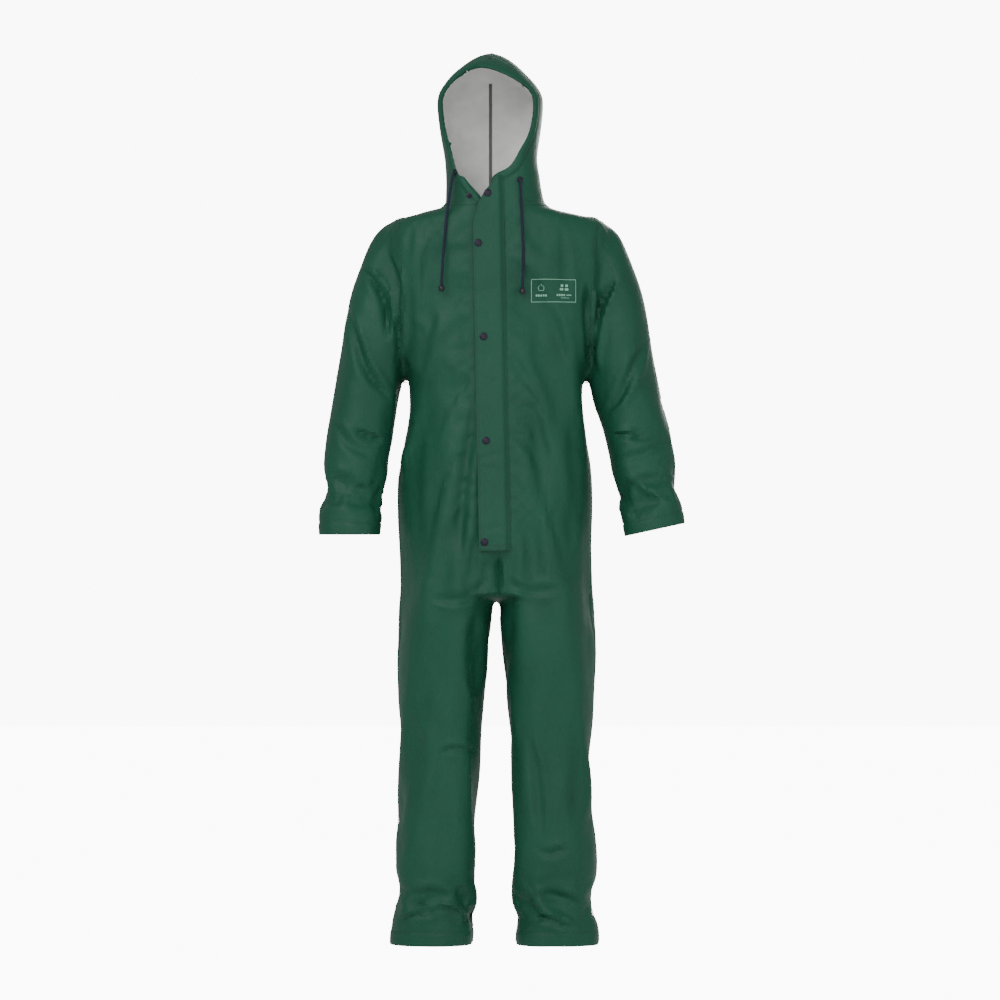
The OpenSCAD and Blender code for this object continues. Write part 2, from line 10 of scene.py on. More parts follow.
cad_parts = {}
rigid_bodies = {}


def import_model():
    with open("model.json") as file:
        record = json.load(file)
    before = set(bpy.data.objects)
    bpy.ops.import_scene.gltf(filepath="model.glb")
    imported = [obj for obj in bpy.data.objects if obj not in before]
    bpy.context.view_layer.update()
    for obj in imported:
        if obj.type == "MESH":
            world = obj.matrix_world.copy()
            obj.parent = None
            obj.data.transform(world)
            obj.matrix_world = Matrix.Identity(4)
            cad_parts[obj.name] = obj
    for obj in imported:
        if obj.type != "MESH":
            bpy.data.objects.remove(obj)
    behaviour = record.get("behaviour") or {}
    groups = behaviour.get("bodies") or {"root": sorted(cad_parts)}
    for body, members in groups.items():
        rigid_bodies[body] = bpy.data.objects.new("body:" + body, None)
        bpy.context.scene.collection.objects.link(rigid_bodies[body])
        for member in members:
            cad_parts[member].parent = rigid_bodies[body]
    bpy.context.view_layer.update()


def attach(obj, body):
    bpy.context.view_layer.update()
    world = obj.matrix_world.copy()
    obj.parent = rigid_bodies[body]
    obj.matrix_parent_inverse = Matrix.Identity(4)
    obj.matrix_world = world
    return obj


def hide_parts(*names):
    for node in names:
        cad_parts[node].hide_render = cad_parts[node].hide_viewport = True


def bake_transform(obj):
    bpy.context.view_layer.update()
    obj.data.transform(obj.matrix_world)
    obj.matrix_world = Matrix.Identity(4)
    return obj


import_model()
mm = 0.001
print("frame loaded")


cloth = {
    "voxel": 0.006,
    "coarseVoxel": 0.014,
    "slack": 0.035,
    "mostMove": 0.014,
    "wall": 0.0013,
    "smoothing": 5,
    "colour": (0.0060, 0.0640, 0.0350),
    "lining": (0.80, 0.80, 0.79),
    "roughness": 0.52,
    "shine": 0.24,
}


def smoothStep(value, low, high):
    t = np.clip((value - low) / (high - low), 0, 1)
    return t * t * (3 - 2 * t)


def curveAt(p0, p1, p2, p3, t):
    # a point between p1 and p2 on the smooth curve through all four
    return 0.5 * (2 * p1 + (p2 - p0) * t + (2 * p0 - 5 * p1 + 4 * p2 - p3) * t * t
                  + (3 * p1 - p0 - 3 * p2 + p3) * t ** 3)


def smoothRows(rows, count):
    # more rows between the given ones, on a smooth path through them
    rows = np.array(rows, float)
    full = np.vstack([2 * rows[0] - rows[1], rows, 2 * rows[-1] - rows[-2]])
    out = []
    for i in range(1, len(full) - 2):
        out += [curveAt(*full[i - 1:i + 3], t) for t in np.arange(count) / count]
    out.append(rows[-1])
    return np.array(out)


def smoothLine(points, step, closed=False):
    # a smooth line through points, with points every step or so
    points = np.array(points, float)
    full = np.vstack([points[-1:], points, points[:2]]) if closed else np.vstack(
        [2 * points[0] - points[1], points, 2 * points[-1] - points[-2]])
    out = []
    for i in range(1, len(full) - 2):
        count = max(1, int(round(np.linalg.norm(full[i + 1] - full[i]) / step)))
        out += [curveAt(*full[i - 1:i + 3], t) for t in np.arange(count) / count]
    if not closed:
        out.append(points[-1])
    return np.array(out)


def evenLine(points, step, closed=False):
    # the same line with points an even step apart
    points = np.array(points, float)
    if closed:
        points = np.vstack([points, points[:1]])
    lengths = np.linalg.norm(np.diff(points, axis=0), axis=1)
    along = np.concatenate([[0], np.cumsum(lengths)])
    count = max(2, int(round(along[-1] / step)))
    want = np.linspace(0, along[-1], count + 1)
    if closed:
        want = want[:-1]
    return np.column_stack([np.interp(want, along, points[:, k]) for k in range(points.shape[1])])


closing = {"bottomZ": -680, "bottomY": -124, "tilt": 1.7, "x": -4, "lean": 1.1, "flat": 42,
           "slot": 5.8, "slotLow": 12}


def planeDepth(z):
    return -(closing["bottomY"] + (z - closing["bottomZ"]) * math.tan(math.radians(closing["tilt"])))


def closingPoint(x, y, z):
    # across the closing, into the suit, up from its bottom, in millimetres; gives metres
    spin = Matrix.Rotation(-math.radians(closing["lean"]), 3, "Y") @ Matrix.Rotation(
        -math.radians(closing["tilt"]), 3, "X")
    return (spin @ Vector((x, y, z)) + Vector((closing["x"], closing["bottomY"], closing["bottomZ"]))) * mm


def fromClosing(x, z):
    # distance from the closing's middle line as seen from the front, in metres
    return np.abs(x - (closing["x"] * mm - (z + 0.68) * math.tan(math.radians(closing["lean"]))))


def outlineRing(z, cx, halfWidth, front, back, power, count=96, flat=0.0):
    t = np.linspace(0, 2 * np.pi, count, endpoint=False)
    c, s = np.cos(t), np.sin(t)
    x = np.sign(c) * (flat * (np.abs(c) > 1e-9) + (halfWidth - flat) * np.abs(c) ** (2 / power))
    y = np.sign(s) * np.abs(s) ** (2 / power) * np.where(s < 0, front, back)
    return np.column_stack([cx + x, y, np.full(count, z)]) * mm


def newObject(name, data):
    obj = bpy.data.objects.new(name, data)
    bpy.context.scene.collection.objects.link(obj)
    return obj


def gridFaces(rows, columns, start=0):
    # the four-sided faces of a grid of points that are numbered row by row
    return [(start + k * columns + i, start + k * columns + i + 1, start + (k + 1) * columns + i + 1,
             start + (k + 1) * columns + i) for k in range(rows - 1) for i in range(columns - 1)]


def loftObject(name, rings):
    rings = np.array(rings)
    k, n, _ = rings.shape
    faces = [(a * n + i, a * n + (i + 1) % n, (a + 1) * n + (i + 1) % n, (a + 1) * n + i)
             for a in range(k - 1) for i in range(n)]
    faces += [tuple(range(n - 1, -1, -1)), tuple((k - 1) * n + i for i in range(n))]
    mesh = bpy.data.meshes.new(name)
    mesh.from_pydata(rings.reshape(-1, 3).tolist(), [], faces)
    return newObject(name, mesh)


def evaluatedMesh(obj):
    graph = bpy.context.evaluated_depsgraph_get()
    graph.update()
    return bpy.data.meshes.new_from_object(obj.evaluated_get(graph))


def arraysOf(mesh):
    co = np.empty(len(mesh.vertices) * 3)
    mesh.vertices.foreach_get("co", co)
    normal = np.empty(len(mesh.vertices) * 3)
    mesh.vertices.foreach_get("normal", normal)
    return co.reshape(-1, 3), normal.reshape(-1, 3)


def noiseAt(points, scale, seed):
    # smooth noise from -1 to 1; scale is three lengths in metres
    size = Vector((1 / scale[0], 1 / scale[1], 1 / scale[2]))
    shift = Vector((seed * 7.31, seed * 3.77, seed * 5.13))
    return np.array([noise.noise(Vector(p) * size + shift) for p in points])


def removeObject(obj):
    mesh = obj.data
    bpy.data.objects.remove(obj)
    if mesh.users == 0:
        bpy.data.meshes.remove(mesh)


# height, middle, half width, front depth, back depth, squareness; front depth 0 is the closing's plane
trunkRows = [
    (-765, 0, 190, 0, 124, 2.5), (-700, 0, 190, 0, 127, 2.5), (-620, 0, 190, 0, 124, 2.5),
    (-520, 0, 190, 0, 117, 2.5), (-450, 0, 181, 0, 112, 2.5), (-380, 0, 173, 0, 112, 2.5),
    (-322, 0, 178, 0, 116, 2.5), (-270, 0, 202, 0, 121, 2.5), (-190, 0, 226, 0, 125, 2.5),
    (-100, 0, 234, 0, 122, 2.5), (-52, 0, 228, 0, 112, 2.4), (-26, 0, 205, 0, 102, 2.3),
    (-13, 0, 152, 0, 94, 2.2), (0, -3, 103, 0, 87, 2.2), (30, -6, 95, 0, 84, 2.3),
    (60, -8, 93, 0, 88, 2.4), (100, -12, 92, 110, 97, 2.6), (145, -13, 99, 121, 108, 3.0),
    (185, -13, 104, 125, 116, 3.0), (215, -13, 105, 123, 118, 2.9), (240, -14, 94, 115, 111, 2.6),
    (264, -14, 73, 96, 92, 2.4), (286, -13, 49, 66, 63, 2.2), (300, -13, 27, 36, 35, 2.0),
    (307, -12, 8, 11, 10, 2.0)]

# height, inner edge, outer edge, front depth, back depth
legRows = {
    "right": [(-1492, 51, 208, 80, 84), (-1456, 50, 208, 80, 84), (-1420, 47, 207, 80, 83),
              (-1350, 43, 204, 79, 82), (-1285, 40, 204, 80, 84), (-1160, 34, 200, 82, 88), (-1050, 28, 200, 86, 91),
              (-960, 20, 200, 93, 98), (-880, 15, 199, 102, 107), (-790, 9, 194, 114, 117),
              (-730, 6, 188, 116, 119)],
    "left": [(-1492, 37, 198, 80, 84), (-1456, 37, 198, 80, 84), (-1420, 37, 198, 80, 83), (-1350, 36, 196, 79, 82),
             (-1285, 36, 198, 80, 84), (-1160, 30, 193, 82, 88), (-1050, 25, 194, 86, 91),
             (-960, 18, 196, 93, 98), (-880, 14, 196, 102, 107), (-790, 9, 193, 114, 117),
             (-730, 6, 188, 116, 119)]}

# inner edge x and z, outer edge x and z, half depth, forward lean
sleeveRows = {
    "right": [(232, -648, 350, -648, 55, -38), (226, -596, 350, -586, 57, -30),
              (219, -536, 346, -520, 59, -20), (212, -476, 339, -448, 61, -12),
              (202, -425, 327, -378, 63, -5), (194, -385, 315, -305, 66, 0)],
    "left": [(254, -651, 368, -626, 55, -38), (244, -596, 364, -576, 57, -30),
             (233, -536, 358, -512, 59, -20), (222, -476, 348, -444, 61, -12),
             (208, -425, 332, -374, 63, -5), (196, -385, 318, -305, 66, 0)]}
sleeveTop = [
    (190, -357, 303, -235, 68, 0), (188, -342, 290, -170, 70, 0), (188, -334, 272, -118, 70, 0),
    (188, -329, 256, -80, 70, 0), (187, -325, 243, -56, 68, 0), (185, -321, 226, -39, 66, 0),
    (178, -318, 206, -31, 62, 0), (150, -300, 160, -50, 55, 0), (120, -280, 120, -80, 45, 0)]


def trunkLoft():
    rows = smoothRows([r if r[3] else (*r[:3], planeDepth(r[0]), *r[4:]) for r in trunkRows], 4)
    rings = []
    for z, cx, half, front, back, power in rows:
        flat = closing["flat"] * float(np.clip(1 - (z - 60) / 100, 0, 1))
        rings.append(outlineRing(z, cx, half, front, back, power, flat=min(flat, half * 0.6)))
    return loftObject("trunkLoft", rings)


def legLoft(side):
    sign = -1 if side == "right" else 1
    rings = []
    for z, inner, outer, front, back in smoothRows(legRows[side], 4):
        rings.append(outlineRing(z, sign * (inner + outer) / 2, (outer - inner) / 2, front, back, 2.3, 72, 12))
    return loftObject(side + "LegLoft", rings)


def cuffMiddle(side):
    x0, z0, x1, z1, _, lean = sleeveRows[side][0]
    return np.array([(-1 if side == "right" else 1) * (x0 + x1) / 2, lean, (z0 + z1) / 2])


def cuffWay(side):
    # along the forearm, out of the cuff
    x0, z0, x1, z1 = sleeveRows[side][0][:4]
    way = np.array([z1 - z0, 0, -(x1 - x0)])
    way[0] *= -1 if side == "right" else 1
    return way / np.linalg.norm(way)


def sleeveLoft(side):
    sign = -1 if side == "right" else 1
    rings = []
    first = np.array(sleeveRows[side][0], float)
    way = cuffWay(side) * 32
    first[[0, 2]] += sign * way[0]
    first[[1, 3]] += way[2]
    for x0, z0, x1, z1, depth, lean in smoothRows([tuple(first)] + sleeveRows[side] + sleeveTop, 3):
        middle = np.array([(x0 + x1) / 2, (z0 + z1) / 2])
        reach = np.array([x1 - x0, z1 - z0])
        t = np.linspace(0, 2 * np.pi, 64, endpoint=False)
        c, s = np.cos(t), np.sin(t)
        a = np.sign(c) * np.abs(c) ** 0.9 / 2
        b = np.sign(s) * np.abs(s) ** 0.9
        rings.append(np.column_stack([
            sign * (middle[0] + reach[0] * a), lean + depth * b, middle[1] + reach[1] * a]) * mm)
    return loftObject(side + "SleeveLoft", rings)


def suitSurface(voxel):
    lofts = [trunkLoft(), legLoft("right"), legLoft("left"), sleeveLoft("right"), sleeveLoft("left")]
    joined = bmesh.new()
    for loft in lofts:
        joined.from_mesh(loft.data)
    bmesh.ops.recalc_face_normals(joined, faces=joined.faces)
    mesh = bpy.data.meshes.new("suit")
    joined.to_mesh(mesh)
    joined.free()
    for loft in lofts:
        removeObject(loft)
    obj = newObject("suit", mesh)
    remesh = obj.modifiers.new("remesh", "REMESH")
    remesh.mode = "VOXEL"
    remesh.voxel_size = voxel
    smooth = obj.modifiers.new("smooth", "SMOOTH")
    smooth.factor = 0.5
    smooth.iterations = cloth["smoothing"]
    final = evaluatedMesh(obj)
    obj.modifiers.clear()
    obj.data = final
    bpy.data.meshes.remove(mesh)
    return obj


# each crease: across and up along its line, half width, depth, ridge, side (front -1, back 1)
creases = [
    # wearer's right sleeve
    ([(-271, -117), (-232, -164), (-218, -202), (-214, -262)], 8, 9, 0.7, -1),
    ([(-297, -196), (-277, -269), (-253, -329), (-206, -384)], 9, 9, 0.7, -1),
    ([(-216, -91), (-198, -149), (-194, -212), (-192, -300)], 7, 8, 0.5, -1),
    ([(-285, -440), (-256, -452), (-222, -461)], 6, 6, 0.6, -1),
    ([(-322, -425), (-290, -470), (-248, -492)], 9, 5, 0.7, -1),
    ([(-330, -520), (-300, -545), (-262, -556)], 10, 3.5, 0.7, -1),
    # wearer's left sleeve
    ([(180, -150), (179, -202), (183, -297), (188, -330)], 8, 12, 0.5, -1),
    ([(238, -133), (202, -202), (190, -285), (196, -335)], 8, 9, 0.7, -1),
    ([(291, -269), (244, -370), (212, -412)], 9, 8, 0.8, -1),
    ([(222, -455), (252, -452), (290, -460)], 6, 7, 0.6, -1),
    ([(228, -500), (281, -492), (345, -462)], 9, 5, 0.7, -1),
    ([(250, -560), (300, -540), (350, -528)], 10, 4, 0.7, -1),
    # trunk
    ([(101, -200), (120, -262), (140, -320)], 12, 5, 0.6, -1),
    ([(-120, -205), (-138, -262), (-150, -330)], 12, 4, 0.6, -1),
    ([(-45, -380), (-51, -444), (-66, -560), (-70, -640), (-73, -735)], 11, 7, 0.7, -1),
    ([(75, -420), (84, -520), (80, -640)], 14, 4, 0.6, -1),
    ([(-150, -440), (-158, -560), (-150, -680)], 14, 4, 0.5, -1),
    ([(140, -430), (150, -560), (143, -690)], 14, 4, 0.5, -1),
    ([(2, -688), (2, -730), (2, -770)], 7, 9, 0.5, -1),
    ([(20, -735), (60, -760), (125, -752)], 10, 5, 0.8, -1),
    ([(-18, -735), (-60, -770), (-130, -775)], 10, 5, 0.8, -1),
    # legs
    ([(-40, -800), (-50, -880), (-44, -968)], 12, 6, 0.6, -1),
    ([(-113, -1073), (-80, -1068), (-40, -1075)], 7, 5, 0.8, -1),
    ([(-170, -1010), (-150, -1090), (-165, -1180)], 14, 4, 0.6, -1),
    ([(62, -1040), (78, -1130), (88, -1245)], 10, 5, 0.8, -1),
    ([(150, -1000), (160, -1100), (150, -1230)], 14, 4, 0.6, -1),
    ([(79, -1265), (105, -1272), (140, -1262)], 8, 5, 0.7, -1),
    ([(-198, -1410), (-150, -1392), (-99, -1384), (-53, -1402)], 7, 6, 0.9, -1),
    ([(-180, -1362), (-130, -1348), (-90, -1356)], 9, 4, 0.8, -1),
    ([(72, -1398), (101, -1402), (150, -1422)], 7, 6, 0.9, -1),
    ([(60, -1362), (110, -1356), (170, -1372)], 9, 4, 0.8, -1),
    # back
    ([(-176, -130), (-170, -220), (-176, -310)], 10, 9, 0.6, 1),
    ([(178, -140), (172, -220), (178, -315)], 10, 9, 0.6, 1),
    ([(-120, -180), (-95, -290), (-102, -400)], 16, 6, 0.6, 1),
    ([(118, -190), (100, -300), (96, -420)], 16, 6, 0.6, 1),
    ([(-60, -420), (-75, -540), (-66, -660)], 16, 6, 0.6, 1),
    ([(30, -400), (46, -520), (40, -640)], 16, 5, 0.6, 1),
    ([(130, -450), (140, -560), (128, -680)], 16, 6, 0.6, 1),
    ([(0, -640), (0, -700), (0, -768)], 9, 8, 0.5, 1),
    ([(15, -745), (70, -790), (150, -800)], 12, 7, 0.8, 1),
    ([(-15, -745), (-70, -795), (-150, -805)], 12, 7, 0.8, 1),
    ([(-170, -1050), (-110, -1062), (-45, -1050)], 9, 7, 0.8, 1),
    ([(-165, -1092), (-110, -1084), (-50, -1096)], 9, 6, 0.8, 1),
    ([(170, -1056), (110, -1066), (42, -1052)], 9, 7, 0.8, 1),
    ([(165, -1098), (110, -1088), (48, -1100)], 9, 6, 0.8, 1),
    ([(-195, -1400), (-120, -1388), (-55, -1402)], 9, 6, 0.8, 1),
    ([(195, -1405), (120, -1392), (48, -1404)], 9, 6, 0.8, 1),
    ([(-300, -250), (-250, -320), (-215, -352)], 10, 7, 0.7, 1),
    ([(300, -250), (250, -320), (215, -352)], 10, 7, 0.7, 1),
    ([(-315, -425), (-262, -446), (-215, -440)], 10, 5, 0.7, 1),
    ([(318, -425), (262, -446), (218, -440)], 10, 5, 0.7, 1),
]


def creaseDepth(points, normals, line, halfWidth, depth, ridge, side):
    # how far a crease pushes each point in; the ridge lies along one side of it
    line = smoothLine(np.array(line, float), 8) * mm
    flat = points[:, [0, 2]]
    low, high = line.min(0) - 0.05, line.max(0) + 0.05
    near = np.all((flat > low) & (flat < high), axis=1) & (normals[:, 1] * side > -0.25)
    out = np.zeros(len(points))
    if not near.any():
        return out
    p = flat[near]
    best = np.full(len(p), 1e9)
    signed = np.zeros(len(p))
    share = np.zeros(len(p))
    total = len(line) - 1
    for i in range(total):
        a, b = line[i], line[i + 1]
        d = b - a
        t = np.clip(((p - a) @ d) / (d @ d), 0, 1)
        off = p - (a + t[:, None] * d)
        distance = np.linalg.norm(off, axis=1)
        closer = distance < best
        best[closer] = distance[closer]
        signed[closer] = (np.sign(d[0] * off[:, 1] - d[1] * off[:, 0]) * distance)[closer]
        share[closer] = ((i + t) / total)[closer]
    w = halfWidth * mm
    taper = smoothStep(share, 0.0, 0.3) * (1 - smoothStep(share, 0.7, 1.0))
    width = w * (0.55 + 0.45 * taper)
    beyond = np.exp(-(best / (3.5 * w)) ** 4)
    s = signed / width
    shape = (-np.exp(-s * s) + ridge * np.exp(-((s - 1.7) ** 2) / 0.9)
             + 0.35 * ridge * np.exp(-((s + 1.9) ** 2) / 1.3))
    facing = smoothStep(normals[near][:, 1] * side, -0.2, 0.35)
    out[near] = shape * depth * mm * np.sqrt(taper) * beyond * facing
    return out


def addFolds(obj):
    points, normals = arraysOf(obj.data)
    push = np.zeros(len(points))
    for line, halfWidth, depth, ridge, side in creases:
        push += creaseDepth(points, normals, line, halfWidth, depth, ridge, side)
    # slack cloth: long soft folds that mostly run down, weaker on the closing and the hood
    soft = 3.6 * noiseAt(points, (0.060, 0.090, 0.240), 1) + 2.4 * noiseAt(points, (0.035, 0.05, 0.10), 2)
    strip = fromClosing(points[:, 0], points[:, 2])
    calm = 1 - (1 - smoothStep(strip, 0.034, 0.075)) * (points[:, 1] < 0) * (points[:, 2] > -0.70)
    calm *= 1 - 0.55 * smoothStep(points[:, 2], -0.03, 0.05)
    limb = 1 + 0.5 * smoothStep(-points[:, 2], 0.80, 0.95)
    push += soft * mm * calm * limb
    moved = points + normals * push[:, None]
    obj.data.vertices.foreach_set("co", moved.ravel())
    obj.data.update()


# how the cloth is slackened: stiffness, weight and the air inside
air = {"steps": 30, "quality": 5, "mass": 0.35, "stretch": 18, "bend": 2.2, "damping": 12, "pressure": 1.2,
       "gravity": 0.25}


def slackCloth(obj):
    # the cloth is a little too big for the wearer, so it buckles; the suit is taken as full of air
    coarse = suitSurface(cloth["coarseVoxel"])
    rest, _ = arraysOf(coarse.data)
    x, y, z = rest[:, 0], rest[:, 1], rest[:, 2]
    strip = fromClosing(x, z)
    held = np.maximum.reduce([
        smoothStep(z, -0.10, -0.02), 0.5 * smoothStep(-z, 1.40, 1.45),
        (1 - smoothStep(strip, 0.036, 0.055)) * (y < 0) * (z > -0.69),
        0.5 * smoothStep(-z, 0.585, 0.625) * (np.abs(x) > 0.215)])
    group = coarse.vertex_groups.new(name="held")
    for i, w in enumerate(held):
        if w > 0.01:
            group.add([i], float(w), "REPLACE")
    modifier = coarse.modifiers.new("cloth", "CLOTH")
    settings = modifier.settings
    settings.quality = air["quality"]
    settings.mass = air["mass"]
    settings.tension_stiffness = settings.compression_stiffness = settings.shear_stiffness = air["stretch"]
    settings.bending_stiffness = air["bend"]
    settings.tension_damping = settings.compression_damping = settings.shear_damping = air["damping"]
    settings.vertex_group_mass = "held"
    settings.pin_stiffness = 1
    settings.shrink_min = settings.shrink_max = -cloth["slack"]
    settings.use_pressure = True
    settings.uniform_pressure_force = air["pressure"]
    settings.effector_weights.gravity = air["gravity"]
    modifier.point_cache.frame_start = 1
    modifier.point_cache.frame_end = air["steps"]
    for step in range(1, air["steps"] + 1):
        bpy.context.scene.frame_set(step)
    moved, _ = arraysOf(evaluatedMesh(coarse))
    bpy.context.scene.frame_set(1)
    shift = moved - rest
    _, cuff, leg = zoneOf(rest)
    shift *= (smoothStep(leg, 12, 95) * smoothStep(np.abs(cuff), 5, 70))[:, None]
    size = np.linalg.norm(shift, axis=1)
    print("slack cloth moved up to", round(float(size.max()) * 1000, 1), "mm")
    cap = cloth["mostMove"]
    shift *= (np.tanh(size / cap) * cap / np.maximum(size, 1e-9))[:, None]
    polygons = [list(f.vertices) for f in coarse.data.polygons]
    tree = BVHTree.FromPolygons(rest.tolist(), polygons)
    points, _ = arraysOf(obj.data)
    out = np.zeros_like(points)
    for i, point in enumerate(points):
        found = tree.find_nearest(Vector(point))
        corners = polygons[found[2]]
        weights = 1 / (np.linalg.norm(rest[corners] - point, axis=1) + 0.003) ** 2
        out[i] = weights @ shift[corners] / weights.sum()
    obj.data.vertices.foreach_set("co", (points + out).ravel())
    obj.data.update()
    removeObject(coarse)


headRadius = 105  # the round that the hood is unrolled from, in millimetres


def headMiddle(z):
    return np.interp(z, [-13, 0, 30, 60, 100, 145], [0, -3, -6, -8, -12, -13])


def unroll(points):
    # distance round the head from its front, and height, in millimetres
    z = points[:, 2] * 1000
    return np.column_stack([
        headRadius * np.arctan2(points[:, 0] * 1000 - headMiddle(z), -points[:, 1] * 1000), z])


def onHead(tree, spot):
    # the point of the surface at an unrolled spot, and its normal
    middle, bearing = float(headMiddle(spot[1])), spot[0] / headRadius
    way = Vector((math.sin(bearing), -math.cos(bearing), 0))
    hit = tree.ray_cast(Vector((middle, 0, spot[1])) * mm + way * 0.02, way, 0.3)
    return hit[0], hit[1]


def toLine(spots, line):
    # distance of each spot from a closed line, and the nearest point on it
    best = np.full(len(spots), 1e9)
    near = np.zeros_like(spots)
    for a, b in zip(line, np.roll(line, -1, axis=0)):
        d = b - a
        t = np.clip(((spots - a) @ d) / (d @ d), 0, 1)
        at = a + t[:, None] * d
        distance = np.linalg.norm(spots - at, axis=1)
        closer = distance < best
        best[closer] = distance[closer]
        near[closer] = at[closer]
    return best, near


def insideLine(spots, line):
    inside = np.zeros(len(spots), bool)
    for a, b in zip(line, np.roll(line, -1, axis=0)):
        crosses = (a[1] > spots[:, 1]) != (b[1] > spots[:, 1])
        at = a[0] + (spots[:, 1] - a[1]) / (b[1] - a[1] + 1e-12) * (b[0] - a[0])
        inside ^= crosses & (spots[:, 0] < at)
    return inside


def hemWidth(z):
    return 16 + 15 * smoothStep(z, 228, 262)


faceOutline = [
    (-21, 8), (-38, 29), (-56, 53), (-66, 57), (-76, 76), (-86, 112), (-97, 150), (-102, 182), (-99, 217),
    (-80, 250), (-48, 271), (-12, 272), (20, 262), (48, 247), (73, 226), (79, 196), (77, 166), (70, 138),
    (56, 111), (43, 87), (30, 71), (2, 56), (-8, 36), (-14, 8)]
faceLine = evenLine(smoothLine(faceOutline, 3, True), 3, True)


def zoneOf(points):
    # distance to the face opening, to the cuffs and to the leg hems, in millimetres
    face = np.full(len(points), 1e3)
    head = (points[:, 2] > -0.03) & (points[:, 1] < 0.03)
    face[head] = toLine(unroll(points[head]), faceLine)[0]
    cuff = np.full(len(points), 1e3)
    for side in ("right", "left"):
        own = (points[:, 0] < -0.2) if side == "right" else (points[:, 0] > 0.2)
        own &= (points[:, 2] < -0.52) & (points[:, 2] > -0.72)
        cuff[own] = -(points[own] * 1000 - cuffMiddle(side)) @ cuffWay(side)
    leg = points[:, 2] * 1000 + 1456
    return face, cuff, leg


def onceEach(parts):
    # without doubles, and always in the same order, which a set doesn't keep
    return list(dict.fromkeys(parts))


def openSuit(obj):
    whole = BVHTree.FromObject(obj, bpy.context.evaluated_depsgraph_get())
    cut = bmesh.new()
    cut.from_mesh(obj.data)
    centres = np.array([f.calc_center_median() for f in cut.faces])
    face, cuff, leg = zoneOf(centres)
    fine = (face < 42) | (np.abs(cuff) < 40) | (leg < 40)
    edges = onceEach(e for f, take in zip(cut.faces, fine) if take for e in f.edges)
    bmesh.ops.subdivide_edges(cut, edges=edges, cuts=1, use_grid_fill=True)

    def slice(choose, point, normal, clear=False):
        faces = [f for f in cut.faces if choose(f.calc_center_median())]
        parts = onceEach(v for f in faces for v in f.verts) + onceEach(e for f in faces for e in f.edges) + faces
        bmesh.ops.bisect_plane(cut, geom=parts, dist=1e-6, plane_co=point, plane_no=normal, clear_outer=clear)

    slice(lambda c: c.z < -1.40, (0, 0, -1.456), (0, 0, -1), True)
    for side in ("right", "left"):
        sign = -1 if side == "right" else 1
        slice(lambda c: c.x * sign > 0.205 and -0.72 < c.z < -0.55, cuffMiddle(side) * mm, cuffWay(side), True)
    origin = closingPoint(0, 0, 0)
    across = closingPoint(1000, 0, 0) - origin
    up = closingPoint(0, 0, 1000) - origin
    slot = closing["slot"] * mm

    def nearSlot(c):
        return c.y < -0.05 and abs((c - origin) @ across) < 0.022 and -0.01 < (c - origin) @ up < 0.71
    slice(nearSlot, origin + across * slot, across)
    slice(nearSlot, origin - across * slot, across)
    slice(nearSlot, origin + up * closing["slotLow"] * mm, up)
    centres = np.array([f.calc_center_median() for f in cut.faces])
    relative = centres - np.array(origin)
    inSlot = (np.abs(relative @ np.array(across)) < slot) & (centres[:, 1] < -0.05) & (
        relative @ np.array(up) > closing["slotLow"] * mm) & (centres[:, 2] < 0.020)
    head = (centres[:, 2] > 0) & (centres[:, 1] < 0.02)
    inFace = np.zeros(len(centres), bool)
    inFace[head] = insideLine(unroll(centres[head]), faceLine)
    cut.faces.ensure_lookup_table()
    bmesh.ops.delete(cut, geom=[cut.faces[i] for i in np.flatnonzero(inSlot | inFace)], context="FACES")
    rim = [v for v in cut.verts if v.is_boundary and v.co.z > 0.012 and v.co.y < 0.03]
    spots = unroll(np.array([v.co for v in rim]))
    index = {v: i for i, v in enumerate(rim)}
    neighbours = [[index[e.other_vert(v)] for e in v.link_edges if e.is_boundary and e.other_vert(v) in index]
                  for v in rim]
    spots = toLine(spots, faceLine)[1]
    for _ in range(12):
        middle = np.array([spots[n].mean(0) if n else spots[i] for i, n in enumerate(neighbours)])
        spots = toLine(0.5 * spots + 0.5 * middle, faceLine)[1]
    for v, spot in zip(rim, spots):
        at = onHead(whole, spot)[0]
        if at is not None and (at - v.co).length < 0.012:
            v.co = at
    ring = rim
    for _ in range(2):
        ring = onceEach(ring + [e.other_vert(v) for v in ring for e in v.link_edges])
    ring = [v for v in ring if v not in index]
    for _ in range(4):
        bmesh.ops.smooth_vert(cut, verts=ring, factor=0.5, use_axis_x=True, use_axis_y=True, use_axis_z=True)
    bmesh.ops.recalc_face_normals(cut, faces=cut.faces)
    if sum(f.normal.z for f in cut.faces if f.calc_center_median().z > 0.29) < 0:
        bmesh.ops.reverse_faces(cut, faces=cut.faces)
    cut.to_mesh(obj.data)
    cut.free()
    obj.data.update()


# widths of the hems, where their thread runs, and how far they stand proud, in millimetres
hems = {"cuff": 24, "leg": 27, "cuffThread": 23.5, "legThread": 26.5, "rise": 1.3, "groove": 0.9, "casing": 2.2,
        "wall": 6.2}


